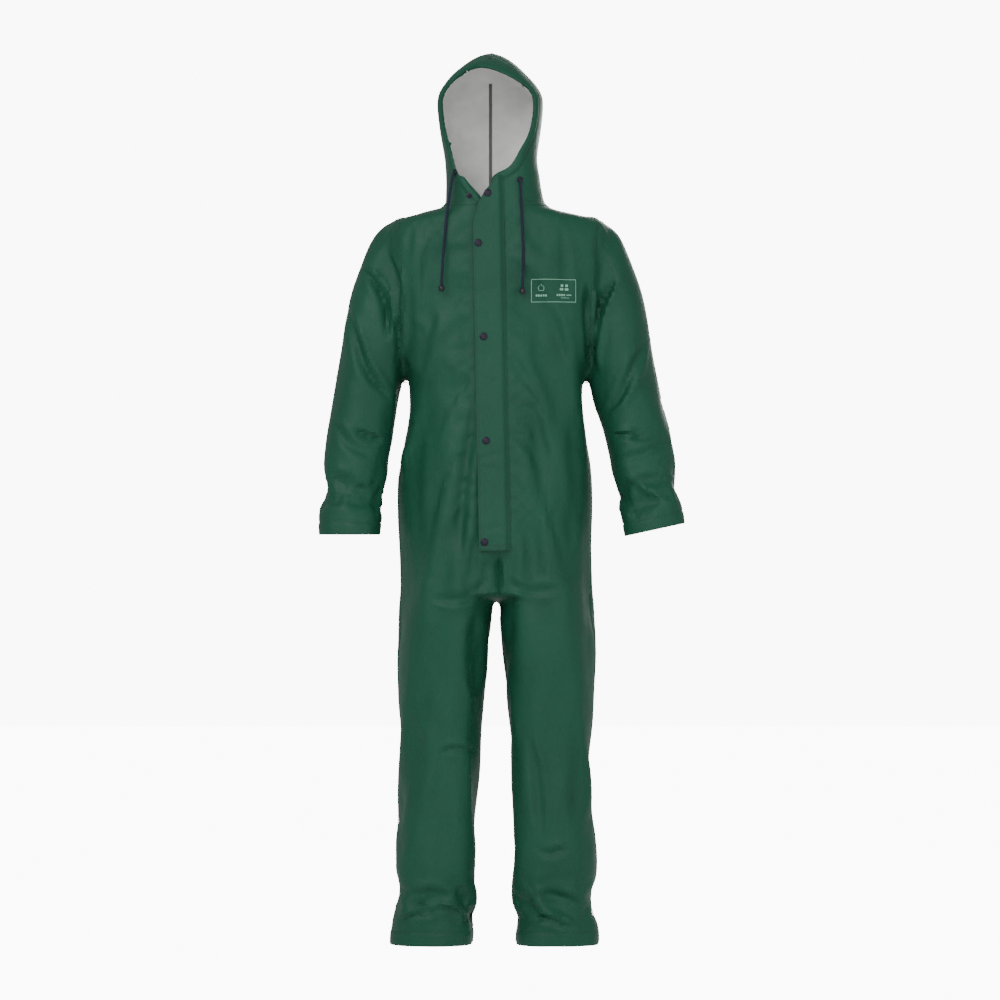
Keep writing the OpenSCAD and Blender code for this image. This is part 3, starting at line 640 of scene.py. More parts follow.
def shapeHems(obj):
    points, normals = arraysOf(obj.data)
    face, cuff, leg = zoneOf(points)
    width = hemWidth(points[:, 2] * 1000)
    inHem = np.clip(1 - ((face - width / 2) / (width / 2)) ** 2, 0, 1)
    push = hems["casing"] * np.sqrt(inHem) * (face < width) - 1.3 * np.exp(-((face - width) / 2.2) ** 2)
    push -= 1.6 * np.exp(-(face / 2.5) ** 2)
    for gap, hem in ((cuff, hems["cuff"]), (leg, hems["leg"])):
        raised = 1 - smoothStep(gap, hem - 2, hem + 1.5)
        push += hems["rise"] * raised - hems["groove"] * np.exp(-((gap - hem) / 2.4) ** 2)
        push -= hems["groove"] * np.exp(-(gap / 2.0) ** 2)
    obj.data.vertices.foreach_set("co", (points + normals * (push * mm)[:, None]).ravel())
    obj.data.update()
    group = obj.vertex_groups.new(name="thick")
    wall = np.maximum(1 - smoothStep(face, width - 2, width + 3),
                      0.22 * (1 - smoothStep(np.minimum(cuff, leg), 22, 28)))
    for i in np.flatnonzero(wall > 0.01):
        group.add([int(i)], float(wall[i]), "REPLACE")


def giveWall(obj):
    obj["outerFaces"] = len(obj.data.polygons)
    modifier = obj.modifiers.new("wall", "SOLIDIFY")
    modifier.thickness = hems["wall"] * mm
    modifier.offset = -1
    modifier.vertex_group = "thick"
    modifier.thickness_vertex_group = cloth["wall"] / modifier.thickness
    modifier.material_offset = 1
    modifier.material_offset_rim = 0
    final = evaluatedMesh(obj)
    obj.modifiers.clear()
    old = obj.data
    obj.data = final
    obj["wallFaces"] = len(final.polygons)
    bpy.data.meshes.remove(old)


class Wire:
    # a shader socket that can be added, multiplied and so on
    def __init__(self, tree, socket):
        self.tree = tree
        self.socket = socket

    def make(self, kind, output=0, settings=None, **inputs):
        node = self.tree.nodes.new(kind)
        for name, value in (settings or {}).items():
            setattr(node, name, value)
        for name, value in inputs.items():
            key = int(name[1:]) if name[1:].isdigit() else name.rstrip("_").replace("_", " ")
            if isinstance(value, Wire):
                self.tree.links.new(value.socket, node.inputs[key])
            elif value is not None:
                node.inputs[key].default_value = value
        return Wire(self.tree, node.outputs[output])

    def __add__(self, other):
        return self.make("ShaderNodeMath", 0, {"operation": "ADD"}, i0=self, i1=other)

    def __mul__(self, other):
        return self.make("ShaderNodeMath", 0, {"operation": "MULTIPLY"}, i0=self, i1=other)

    __radd__ = __add__
    __rmul__ = __mul__

    def noise(self, scale, detail=2.0, roughness=0.5):
        return self.make("ShaderNodeTexNoise", Vector=self, Scale=scale, Detail=detail, Roughness=roughness)

    def between(self, low, high, start, end):
        return self.make("ShaderNodeMapRange", 0, {"clamp": True}, Value=self, From_Min=low, From_Max=high,
                         To_Min=start, To_Max=end)

    def colour(self, first, second):
        return self.make("ShaderNodeMix", 2, {"data_type": "RGBA"}, i0=self, i6=(*first, 1), i7=(*second, 1))


def newFinish(name, colour, roughness, metallic=0.0, specular=0.5, coat=0.0, coatRoughness=0.3):
    finish = bpy.data.materials.new(name)
    finish.use_nodes = True
    tree = finish.node_tree
    shader = tree.nodes["Principled BSDF"]
    shader.inputs["Base Color"].default_value = (*colour, 1)
    shader.inputs["Roughness"].default_value = roughness
    shader.inputs["Metallic"].default_value = metallic
    shader.inputs["Specular IOR Level"].default_value = specular
    shader.inputs["Coat Weight"].default_value = coat
    shader.inputs["Coat Roughness"].default_value = coatRoughness
    place = Wire(tree, tree.nodes.new("ShaderNodeTexCoord").outputs["Object"])

    def put(wire, name):
        tree.links.new(wire.socket, shader.inputs[name])
    return finish, place, put


def coatedCloth():
    base = cloth["colour"]
    finish, place, put = newFinish("coatedCloth", base, cloth["roughness"], 0, cloth["shine"])
    mottle = place.noise(7, 4, 0.6)
    scuff = place.noise(34, 5, 0.65)
    grain = place.noise(1400, 2, 0.5)
    tone = mottle.between(0.3, 0.7, 0.0, 0.7) + scuff.between(0.35, 0.75, 0.0, 0.3)
    put(tone.colour([c * 0.90 for c in base], [c * 1.14 for c in base]), "Base Color")
    put(scuff.between(0.3, 0.75, cloth["roughness"] - 0.05, cloth["roughness"] + 0.10), "Roughness")
    fine = grain.make("ShaderNodeBump", Strength=0.22, Distance=0.00025, Height=grain)
    crumple = place.noise(26, 3, 0.55)
    put(crumple.make("ShaderNodeBump", Strength=0.28, Distance=0.004, Height=crumple, Normal=fine), "Normal")
    return finish


def knitLining():
    base = cloth["lining"]
    finish, place, put = newFinish("knitLining", base, 0.9, 0, 0.2)
    tone = place.noise(12, 3, 0.6)
    put(tone.between(0.3, 0.7, 0, 1).colour([c * 0.82 for c in base], [c * 1.06 for c in base]), "Base Color")
    weave = place.make("ShaderNodeTexVoronoi", Vector=place, Scale=620)
    put(weave.make("ShaderNodeBump", Strength=0.4, Distance=0.0005, Height=weave), "Normal")
    return finish


def braid():
    base = cords["colour"]
    finish, place, put = newFinish("braid", base, 0.75, 0, 0.3)
    rise = place.make("ShaderNodeTexWave", 0, {"wave_type": "BANDS", "bands_direction": "DIAGONAL"}, Vector=place,
                      Scale=150, Distortion=0.4)
    fall = place.make("ShaderNodeTexVoronoi", Vector=place, Scale=700)
    weave = rise * 0.6 + fall * 0.4
    put(weave.between(0.1, 0.9, 0, 1).colour([c * 0.6 for c in base], [c * 1.5 for c in base]), "Base Color")
    put(weave.make("ShaderNodeBump", Strength=0.6, Distance=0.0008, Height=weave), "Normal")
    return finish


studs = {"colour": (0.022, 0.019, 0.030), "heights": [17, 215, 419, 603, 701], "across": [-20, -13, -14, -21, -0.5]}


def wornMetal():
    finish, place, put = newFinish("wornMetal", studs["colour"], 0.36, 0.9, 0.5)
    wear = place.noise(260, 4, 0.6)
    put(wear.between(0.3, 0.7, 0.28, 0.5), "Roughness")
    base = studs["colour"]
    put(wear.between(0.35, 0.7, 0, 1).colour([c * 0.8 for c in base], [c * 1.3 for c in base]), "Base Color")
    return finish


def plainFinish(name, colour, roughness, grainScale=900, strength=0.2):
    finish, place, put = newFinish(name, colour, roughness, 0, 0.4)
    grain = place.noise(grainScale, 2, 0.5)
    put(grain.between(0.2, 0.8, 0, 1).colour([c * 0.85 for c in colour], [c * 1.12 for c in colour]), "Base Color")
    put(grain.make("ShaderNodeBump", Strength=strength, Distance=0.0003, Height=grain), "Normal")
    return finish


def repeatTree():
    # rounded bars or blocks at an even spacing along every chain of edges
    tree = bpy.data.node_groups.new("repeatAlong", "GeometryNodeTree")
    for name, kind, value in (
            ("Line", "Geometry", None), ("Spacing", "Float", 0.004), ("Length", "Float", 0.003),
            ("Width", "Float", 0.0008), ("Height", "Float", 0.0008), ("Unevenness", "Float", 0.0),
            ("Seed", "Int", 3), ("Square", "Bool", None), ("Finish", "Material", None)):
        socket = tree.interface.new_socket(name, in_out="INPUT", socket_type="NodeSocket" + kind)
        if value is not None:
            socket.default_value = value
    tree.interface.new_socket("Row", in_out="OUTPUT", socket_type="NodeSocketGeometry")
    given = {socket.name: Wire(tree, socket) for socket in tree.nodes.new("NodeGroupInput").outputs}
    make = given["Line"].make
    curve = make("GeometryNodeMeshToCurve", i0=given["Line"])
    points = make("GeometryNodeCurveToPoints", 0, {"mode": "LENGTH"}, Curve=curve, Length=given["Spacing"])
    along = Wire(tree, points.socket.node.outputs["Rotation"])
    bar = make("GeometryNodeMeshIcoSphere", Radius=0.5, Subdivisions=2)
    block = make("GeometryNodeMeshCube", Size=(1, 1, 1))
    shape = make("GeometryNodeSwitch", 0, {"input_type": "GEOMETRY"}, Switch=given["Square"], False_=bar,
                 True_=block)
    size = make("ShaderNodeCombineXYZ", i0=given["Width"], i1=given["Height"], i2=given["Length"])
    low, high = (make("ShaderNodeVectorMath", 0, {"operation": "SCALE"}, i0=(way, way, way),
                      Scale=given["Unevenness"]) for way in (-1, 1))
    turn = make("FunctionNodeRandomValue", 0, {"data_type": "FLOAT_VECTOR"}, Min=low, Max=high, Seed=given["Seed"])
    row = make("GeometryNodeInstanceOnPoints", Points=points, Instance=shape, Rotation=along, Scale=size)
    row = make("GeometryNodeRotateInstances", Instances=row, Rotation=turn)
    row = make("GeometryNodeRealizeInstances", i0=row)
    row = make("GeometryNodeSetMaterial", Geometry=row, Material=given["Finish"])
    tree.links.new(row.socket, tree.nodes.new("NodeGroupOutput").inputs[0])
    return tree


def repeatAlong(lines, finish, **values):
    # a plain mesh of bars along lines of points, in metres
    points = [tuple(p) for line in lines for p in line]
    edges, start = [], 0
    for line in lines:
        edges += [(start + i, start + i + 1) for i in range(len(line) - 1)]
        start += len(line)
    mesh = bpy.data.meshes.new("row")
    mesh.from_pydata(points, edges, [])
    obj = newObject("row", mesh)
    modifier = obj.modifiers.new("row", "NODES")
    modifier.node_group = rowTree
    for socket in rowTree.interface.items_tree:
        if socket.in_out == "INPUT" and socket.name in values:
            modifier[socket.identifier] = values[socket.name]
        if socket.in_out == "INPUT" and socket.name == "Finish":
            modifier[socket.identifier] = finish
    final = evaluatedMesh(obj)
    removeObject(obj)
    return final


def stripAlong(points, normals, width, height):
    # a low lapped strip on a surface: two long edges that dip under it and a crown between them
    points, normals = np.array(points), np.array(normals)
    way = np.gradient(points, axis=0)
    way /= np.linalg.norm(way, axis=1)[:, None]
    for _ in range(3):
        normals[1:-1] = normals[1:-1] + normals[:-2] + normals[2:]
        normals /= np.linalg.norm(normals, axis=1)[:, None]
    side = np.cross(normals, way)
    side /= np.linalg.norm(side, axis=1)[:, None]
    profile = [(-0.5, -0.5), (-0.43, 0.75), (-0.2, 1), (0.2, 1), (0.43, 0.75), (0.5, -0.5)]
    rings = np.stack([points + side * (a * width) + normals * (b * height) for a, b in profile], axis=1)
    faces = gridFaces(len(points), len(profile))
    first = rings.reshape(-1, 3)
    a, b, c = first[faces[0][0]], first[faces[0][1]], first[faces[0][2]]
    if np.cross(b - a, c - a) @ normals[0] < 0:
        faces = [f[::-1] for f in faces]
    mesh = bpy.data.meshes.new("strip")
    mesh.from_pydata(first.tolist(), [], faces)
    mesh.shade_smooth()
    return mesh


# camera, floor and lights; each light has a place, a size, a power and a point to face
studio = {
    "distance": 8.0, "height": -0.688, "x": 0.006, "lens": 145.3, "tiltUp": 0.78, "floor": -1.62,
    "backdrop": (0.86, 0.86, 0.86), "skyLight": 0.55, "skySeen": 12.0, "floorGlow": 0.9,
    "lights": {"keyLight": ((-2.0, -3.6, 1.9), 2.4, 95, (0, 0, -0.5)),
               "frontLight": ((0.3, -4.5, 0.2), 2.6, 48, (0, 0, -0.4)),
               "fillLight": ((2.8, -2.6, 0.2), 2.2, 22, (0, 0, -0.7)),
               "backLight": ((1.0, 4.2, 1.0), 2.4, 110, (0, 0, -0.5))}}


def brightPaper(tree, lit, kind, share, end):
    # what is looked at straight on is bright paper, and what lights the suit stays as it was
    seen = Wire(tree, tree.nodes.new("ShaderNodeLightPath").outputs["Is Camera Ray"])
    paper = seen.make(kind, Strength=studio["skySeen"])
    mixed = seen.make("ShaderNodeMixShader", i0=seen * share, i1=Wire(tree, lit.outputs[0]), i2=paper)
    tree.links.new(mixed.socket, tree.nodes[end].inputs["Surface"])


def makeStudio():
    camera = newObject("camera", bpy.data.cameras.new("camera"))
    camera.data.lens = studio["lens"]
    camera.data.sensor_width = 36
    camera.location = (studio["x"], -studio["distance"], studio["height"])
    camera.rotation_euler = (math.radians(90 + studio["tiltUp"]), 0, 0)
    camera.data.clip_end = 60
    bpy.context.scene.camera = camera
    mesh = bpy.data.meshes.new("floor")
    mesh.from_pydata([(-14, -14, 0), (14, -14, 0), (14, 14, 0), (-14, 14, 0)], [], [(0, 1, 2, 3)])
    paint = bpy.data.materials.new("paleFloor")
    paint.use_nodes = True
    shader = paint.node_tree.nodes["Principled BSDF"]
    shader.inputs["Base Color"].default_value = (*studio["backdrop"], 1)
    shader.inputs["Roughness"].default_value = 0.9
    brightPaper(paint.node_tree, shader, "ShaderNodeEmission", studio["floorGlow"], "Material Output")
    mesh.materials.append(paint)
    floor = newObject("floor", mesh)
    floor.location.z = studio["floor"]
    world = bpy.data.worlds.new("softLight")
    bpy.context.scene.world = world
    world.use_nodes = True
    sky = world.node_tree.nodes["Background"]
    sky.inputs["Color"].default_value = (1, 1, 1, 1)
    sky.inputs["Strength"].default_value = studio["skyLight"]
    brightPaper(world.node_tree, sky, "ShaderNodeBackground", 1.0, "World Output")
    for name, (place, size, power, target) in studio["lights"].items():
        light = newObject(name, bpy.data.lights.new(name, "AREA"))
        light.data.size = size
        light.data.energy = power
        light.location = place
        light.rotation_euler = (Vector(target) - Vector(place)).to_track_quat("-Z", "Y").to_euler()


def castLine(tree, rays):
    points, normals = [], []
    for start, way in rays:
        hit = tree.ray_cast(Vector(start) * mm, Vector(way), 0.4)
        if hit[0] is not None:
            points.append(np.array(hit[0]))
            normals.append(np.array(hit[1]) * (1 if Vector(way) @ hit[1] > 0 else -1))
    return np.array(points), np.array(normals)


thread = {"colour": (0.018, 0.050, 0.034), "pitch": 0.0036, "length": 0.0030, "width": 0.00075}
# width and height of a lapped seam, and how far off its middle the two rows of thread run, in metres
seamShape = {"width": 0.010, "height": 0.0007, "rows": (-0.0030, 0.0030), "threadRise": 0.0008}


def seamLines(tree):
    # name: points and normals on the outside of the cloth
    lines = {}
    heights = np.arange(-335, -757, -4.0)
    for side, sign in (("right", -1), ("left", 1)):
        lines["side_" + side] = castLine(tree, [((sign * 110, 0, z), (sign, 0, 0)) for z in heights])
        rows = smoothRows(legRows[side], 8)
        rows = rows[(rows[:, 0] > -1456 + 1) & (rows[:, 0] < -762)]
        lines["outer_" + side] = castLine(tree, [((sign * (r[1] + r[2]) / 2, 0, r[0]), (sign, 0, 0)) for r in rows])
        lines["inner_" + side] = castLine(
            tree, [((sign * (r[1] + r[2]) / 2, 0, r[0]), (-sign, 0, 0)) for r in rows if r[0] < -800])
        rows = smoothRows(sleeveRows[side] + sleeveTop[:1], 8)
        under = []
        for x0, z0, x1, z1, _, lean in rows[4:-6]:
            middle = np.array([sign * (x0 + x1) / 2, lean, (z0 + z1) / 2])
            way = np.array([sign * (x0 - x1), 0, z0 - z1])
            under.append((middle, way / np.linalg.norm(way)))
        lines["under_" + side] = castLine(tree, under)
        tilt = math.radians(2)
        ring = []
        for angle in np.arange(4, 357, 2.2):
            a = math.radians(angle)
            way = Vector((0, -math.sin(a), -math.cos(a)))
            way.x = sign * way.z * math.tan(tilt)
            ring.append(((sign * 190, 0, -172), way.normalized()))
        lines["armhole_" + side] = castLine(tree, ring)
    crown = []
    for angle in np.arange(-24, 118, 1.6):
        a = math.radians(angle)
        crown.append(((-13, 0, 150), (0, math.sin(a), math.cos(a))))
    lines["crown"] = castLine(tree, crown)
    collar = []
    for bearing in np.arange(24, 342, 2.0):
        b = math.radians(bearing)
        collar.append(((-3, 0, 2), (math.sin(b), -math.cos(b), 0)))
    lines["neck"] = castLine(tree, collar)
    return lines


def hemLines(tree):
    lines = []
    for side, sign in (("right", -1), ("left", 1)):
        middle = cuffMiddle(side) - cuffWay(side) * hems["cuffThread"]
        across = np.cross(cuffWay(side), (0, 1, 0))
        lines.append(castLine(tree, [(middle, across * math.cos(a) + np.array([0, 1, 0]) * math.sin(a))
                                     for a in np.linspace(0, 2 * math.pi, 110)])[0])
        row = legRows[side][1]
        centre = (sign * (row[1] + row[2]) / 2, 0, row[0] + hems["legThread"])
        lines.append(castLine(tree, [(centre, (math.cos(a), math.sin(a), 0))
                                     for a in np.linspace(0, 2 * math.pi, 140)])[0])
    spots = []
    for a, b in zip(faceLine, np.roll(faceLine, -1, axis=0)):
        way = (b - a) / np.linalg.norm(b - a)
        out = np.array([way[1], -way[0]])
        middle = (a + b) / 2
        if insideLine(np.array([middle + out * 3]), faceLine)[0]:
            out = -out
        spot = middle + out * (hemWidth(middle[1]) + 0.6)
        if toLine(np.array([spot]), faceLine)[0][0] > hemWidth(middle[1]) - 1.5 and spot[1] > 14:
            spots.append(spot)
    casing, piece = [], []
    for spot in spots:
        at = onHead(tree, spot)[0]
        if at is not None and (not piece or (np.array(at) - piece[-1]) @ (np.array(at) - piece[-1]) < 0.012 ** 2):
            piece.append(np.array(at))
        elif at is not None:
            casing.append(np.array(piece))
            piece = [np.array(at)]
    casing.append(np.array(piece))
    return lines + [line for line in casing if len(line) > 4]


def liftLine(points, normals, side, up):
    way = np.gradient(points, axis=0)
    way /= np.linalg.norm(way, axis=1)[:, None]
    across = np.cross(normals, way)
    return points + across * side + normals * up


def joinMeshes(name, meshes):
    joined = bmesh.new()
    for mesh in meshes:
        joined.from_mesh(mesh)
    result = bpy.data.meshes.new(name)
    joined.to_mesh(result)
    joined.free()
    return result


def dressSuit(obj, tree):
    seams = seamLines(tree)
    parts, rows = [], []
    for name, (points, normals) in seams.items():
        if len(points) < 6:
            print("seam left out:", name)
            continue
        points[1:-1] = (points[:-2] + 2 * points[1:-1] + points[2:]) / 4
        parts.append(stripAlong(points, normals, seamShape["width"], seamShape["height"]))
        rows += [liftLine(points, normals, side, seamShape["threadRise"]) for side in seamShape["rows"]]
    rows += hemLines(tree)
    stitches = repeatAlong(rows, finishes["thread"], Spacing=thread["pitch"], Length=thread["length"],
                           Width=thread["width"], Height=thread["width"], Unevenness=0.10, Seed=5)
    stitches.shade_smooth()
    inside = [((-13, 40, z), (0, 1, 0)) for z in np.arange(20, 262, 4.0)]
    points, normals = castLine(tree, inside)
    lining = stripAlong(points - normals * 0.0013, -normals, 0.007, 0.0012)
    for mesh, index in ((stitches, 2), (lining, 3)):
        mesh.polygons.foreach_set("material_index", np.full(len(mesh.polygons), index, np.int32))
    mesh = joinMeshes("suit", [obj.data] + parts + [stitches, lining])
    for finish in ("cloth", "lining", "thread", "liningSeam"):
        mesh.materials.append(finishes[finish])
    mesh.set_sharp_from_angle(angle=math.radians(42))
    obj.data = mesh
    print("seams and stitches:", len(mesh.polygons), "faces")


# where the sleeves are parted: across, up, and the slope of the arm there in degrees
armPlanes = {"shoulder": (262, -345), "slope": 20, "elbow": (274, -440), "elbowSlope": 11}


def suitPieces(centres):
    # name: faces, CAD nodes it stands for, bodies and the stretch between its two bodies
    x, y, z = centres.T * 1000
    face, cuff, leg = zoneOf(centres)
    inFaceHem = face < hemWidth(z) + 0.3
    front = y < 0
    closingX = closing["x"] - (z - closing["bottomZ"]) * math.tan(math.radians(closing["lean"]))
    hood = z > 66
    below = z < -765
    pieces = {}
    taken = np.zeros(len(x), bool)
    for side, sign in (("right", -1), ("left", 1)):
        sx, sz = armPlanes["shoulder"]
        slope = math.radians(armPlanes["slope"])
        alongArm = (sign * x - sx) * math.sin(slope) - (z - sz) * math.cos(slope)
        ex, ez = armPlanes["elbow"]
        elbow = math.radians(armPlanes["elbowSlope"])
        alongElbow = (sign * x - ex) * math.sin(elbow) - (z - ez) * math.cos(elbow)
        split = np.interp(z, [-700, -600, -520, -450, -400, -357, -321], [213, 209, 203, 194, 186, 183, 184])
        sleeve = np.where(z > -321, sign * x > 190 + 0.035 * (z + 172), (sign * x > split) & (z > -700))
        arm = sleeve & ~below
        head = arm & (alongArm < -36)
        upper = arm & (alongArm >= -36) & (alongElbow < -40)
        cuffHem = arm & (cuff < 24.2)
        lower = arm & ~head & ~upper & ~cuffHem
        armWay = Vector((sign * math.sin(slope), 0, -math.cos(slope)))
        elbowWay = Vector((sign * math.sin(elbow), 0, -math.cos(elbow)))
        shoulderAt = Vector((sign * sx, 0, sz)) * mm
        elbowAt = Vector((sign * ex, -6, ez)) * mm
        pieces["sleeve_head_" + side] = (head, "trunk", None, None, None)
        pieces["upper_sleeve_" + side] = (
            upper, "trunk", "upper_arm_" + side, shoulderAt - armWay * 0.033, shoulderAt + armWay * 0.030)
        pieces["lower_sleeve_" + side] = (
            lower, "upper_arm_" + side, "forearm_" + side, elbowAt - elbowWay * 0.038, elbowAt + elbowWay * 0.042)
        pieces["cuff_hem_" + side] = (cuffHem, "forearm_" + side, None, None, None)
        taken |= arm
        own = below & (sign * x > 0)
        legHem = own & (leg < 27.2)
        thigh = own & (z > -1012)
        shin = own & ~thigh & ~legHem
        for half, inHalf in (("front", front), ("back", ~front)):
            pieces[f"thigh_{half}_{side}"] = (thigh & inHalf, "trunk", "thigh_" + side, Vector((0, 0, -0.770)),
                                              Vector((0, 0, -0.890)))
            pieces[f"shin_{half}_{side}"] = (shin & inHalf, "thigh_" + side, "shin_" + side, Vector((0, 0, -1.020)),
                                             Vector((0, 0, -1.120)))
        pieces["leg_hem_" + side] = (legHem, "shin_" + side, None, None, None)
    rest = ~taken & ~below
    trunk = rest & (z <= 0)
    neck = rest & (z > 0) & ~hood
    atLeft = np.where(front, x > closingX, x > -12)
    pieces["front_panel_right"] = (trunk & front & ~atLeft, "trunk", None, None, None)
    pieces["front_panel_left"] = (trunk & front & atLeft, "trunk", None, None, None)
    pieces["back_panel"] = (trunk & ~front, "trunk", None, None, None)
    pieces["throat_hem_right"] = (neck & inFaceHem & ~atLeft, "trunk", None, None, None)
    pieces["throat_hem_left"] = (neck & inFaceHem & atLeft, "trunk", None, None, None)
    pieces["neck_right"] = (neck & ~inFaceHem & ~atLeft, "trunk", None, None, None)
    pieces["neck_left"] = (neck & ~inFaceHem & atLeft, "trunk", None, None, None)
    bend = ("trunk", "hood", Vector((0, 0, 0.072)), Vector((0, 0, 0.150)))
    pieces["face_hem"] = (rest & hood & inFaceHem, *bend)
    pieces["hood_right"] = (rest & hood & ~inFaceHem & (x < -12), *bend)
    pieces["hood_left"] = (rest & hood & ~inFaceHem & (x >= -12), *bend)
    return pieces


def cutPieces(obj):
    mesh = obj.data
    points, _ = arraysOf(mesh)
    normals = np.empty(len(mesh.loops) * 3, np.float32)
    mesh.corner_normals.foreach_get("vector", normals)
    normals = normals.reshape(-1, 3)
    starts = np.empty(len(mesh.polygons), np.int32)
    totals = np.empty(len(mesh.polygons), np.int32)
    finish = np.empty(len(mesh.polygons), np.int32)
    mesh.polygons.foreach_get("loop_start", starts)
    mesh.polygons.foreach_get("loop_total", totals)
    mesh.polygons.foreach_get("material_index", finish)
    corners = np.empty(len(mesh.loops), np.int32)
    mesh.loops.foreach_get("vertex_index", corners)
    centres = np.add.reduceat(points[corners], starts, axis=0) / totals[:, None]
    made = {}
    left = np.ones(len(starts), bool)
    # the coated face, the knit face and the edge of the cloth don't share points, and neither do front and back
    layer = np.searchsorted([obj["outerFaces"], 2 * obj["outerFaces"], obj["wallFaces"]],
                            np.arange(len(starts)), side="right") * 2 + (centres[:, 1] >= 0)
    for name, (mask, first, second, start, end) in suitPieces(centres).items():
        mask = mask & left
        left &= ~mask
        chosen = np.flatnonzero(mask)
        if not len(chosen):
            print("empty piece:", name)
            continue
        loops = np.concatenate([np.arange(starts[i], starts[i] + totals[i]) for i in chosen])
        keys, local = np.unique(corners[loops].astype(np.int64) * 8 + np.repeat(layer[chosen], totals[chosen]),
                                return_inverse=True)
        used = keys // 8
        faces = np.split(local, np.cumsum(totals[chosen])[:-1])
        part = bpy.data.meshes.new(name)
        part.from_pydata(points[used].tolist(), [], [f.tolist() for f in faces])
        for material in mesh.materials:
            part.materials.append(material)
        part.polygons.foreach_set("material_index", finish[chosen])
        part.shade_smooth()
        part.normals_split_custom_set(normals[loops].tolist())
        piece = newObject(name + "_cloth", part)
        if second:
            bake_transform(piece)
        else:
            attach(piece, first)
        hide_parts(*([name, "drawcord_hood"] if name == "face_hem" else [name]))
        made[name] = piece
    print("faces in no piece:", int(left.sum()))
    removeObject(obj)
    return made


# the flap over the closing, in millimetres; dents are height, slope and depth
flap = {"left": -31, "right": 31, "top": 736, "cell": 4, "stand": 9.0, "least": 2.0, "thickness": 0.002,
        "edgeHeights": [0, 640, 682, 697, 736], "edgeAcross": [-31, -31, -19, -11, 17],
        "dents": ((186, 0.25, 1.6), (160, -0.15, 0.9), (44, 0.2, 1.3), (330, -0.3, 0.9), (510, 0.2, 0.9))}


def flapEdge(height):
    return float(np.interp(height, flap["edgeHeights"], flap["edgeAcross"]))


def flapRise(x, height):
    # how far the flap's face stands out from the closing, in millimetres
    stand = flap["least"] + (flap["stand"] - flap["least"]) * (1 - float(smoothStep(x, 19, 30.5)))
    wave = 0.9 * math.sin(height / 37 + 0.4) * float(smoothStep(-x, -12, 26)) + 0.7 * math.sin(height / 83 + x / 30)
    for at, tilt, depth in flap["dents"]:
        wave -= depth * math.exp(-((height - at - tilt * x) / 6.0) ** 2) * (1 - float(smoothStep(x, 8, 24)))
    # the flap lies still round each stud
    quiet = min(1.0, min(math.hypot(x - ax, (height - az) * 0.6) for ax, az in zip(
        studs["across"], studs["heights"])) / 22)
    return stand + wave * quiet * quiet


def makeFlap():
    heights = np.arange(0, flap["top"] + 0.1, flap["cell"])
    across = np.linspace(0, 1, 19)
    points = []
    for height in heights:
        low = flapEdge(height)
        for t in across:
            x = low + (flap["right"] - low) * t
            points.append(closingPoint(x, -flapRise(x, height), height))
    mesh = bpy.data.meshes.new("stormFlap")
    mesh.from_pydata([tuple(p) for p in points], [], gridFaces(len(heights), len(across)))
    obj = newObject("storm_flap_cloth", mesh)
    mesh.shade_smooth()
    wall = obj.modifiers.new("wall", "SOLIDIFY")
    wall.thickness = flap["thickness"]
    wall.offset = -1
    edge = obj.modifiers.new("edge", "BEVEL")
    edge.width = 0.0006
    edge.segments = 2
    edge.limit_method = "ANGLE"
    edge.angle_limit = math.radians(50)
    body = evaluatedMesh(obj)
    obj.modifiers.clear()

    def onFlap(x, height):
        return closingPoint(x, -flapRise(x, height) - 0.25, height)

    def run(x, low, high):
        return [onFlap(x if x > 0 else flapEdge(h) + (x - flap["left"]), h) for h in np.arange(low, high, 4)]

    def cross(height, low, high):
        return [onFlap(x, height) for x in np.arange(low, high, 3)]
    rows = [run(-27.5, 4, 730), run(25.0, 4, 730), run(28.2, 4, 730), cross(4, -28, 30), cross(10, -28, 30),
            cross(731, 18, 30)]
    stitches = repeatAlong(rows, finishes["thread"], Spacing=thread["pitch"], Length=thread["length"],
                           Width=thread["width"], Height=thread["width"], Unevenness=0.1, Seed=9)
    stitches.shade_smooth()
    stitches.polygons.foreach_set("material_index", np.full(len(stitches.polygons), 1, np.int32))
    body.polygons.foreach_set("material_index", np.zeros(len(body.polygons), np.int32))
    joined = joinMeshes("stormFlap", [body, stitches])
    joined.materials.append(finishes["cloth"])
    joined.materials.append(finishes["thread"])
    joined.set_sharp_from_angle(angle=math.radians(45))
    obj.data = joined
    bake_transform(obj)
    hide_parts("storm_flap")
    return obj


zipper = {"pitch": 0.0026, "bottom": 25, "top": 658, "colour": (0.012, 0.014, 0.030)}


def makeTeeth():
    for side, sign in (("right", -1), ("left", 1)):
        shift = 0 if side == "right" else zipper["pitch"] * 500
        line = [closingPoint(sign * 1.65, 2.3, h + shift) for h in np.arange(zipper["bottom"], zipper["top"], 3.0)]
        mesh = repeatAlong([line], finishes["zipPlastic"], Spacing=zipper["pitch"], Length=0.0015, Width=0.0030,
                           Height=0.0022, Unevenness=0.0, Seed=1, Square=True)
        mesh.materials.clear()
        mesh.materials.append(finishes["zipPlastic"])
        obj = newObject("zip_teeth_" + side + "_row", mesh)
        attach(obj, "trunk")
        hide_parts("zip_teeth_" + side)


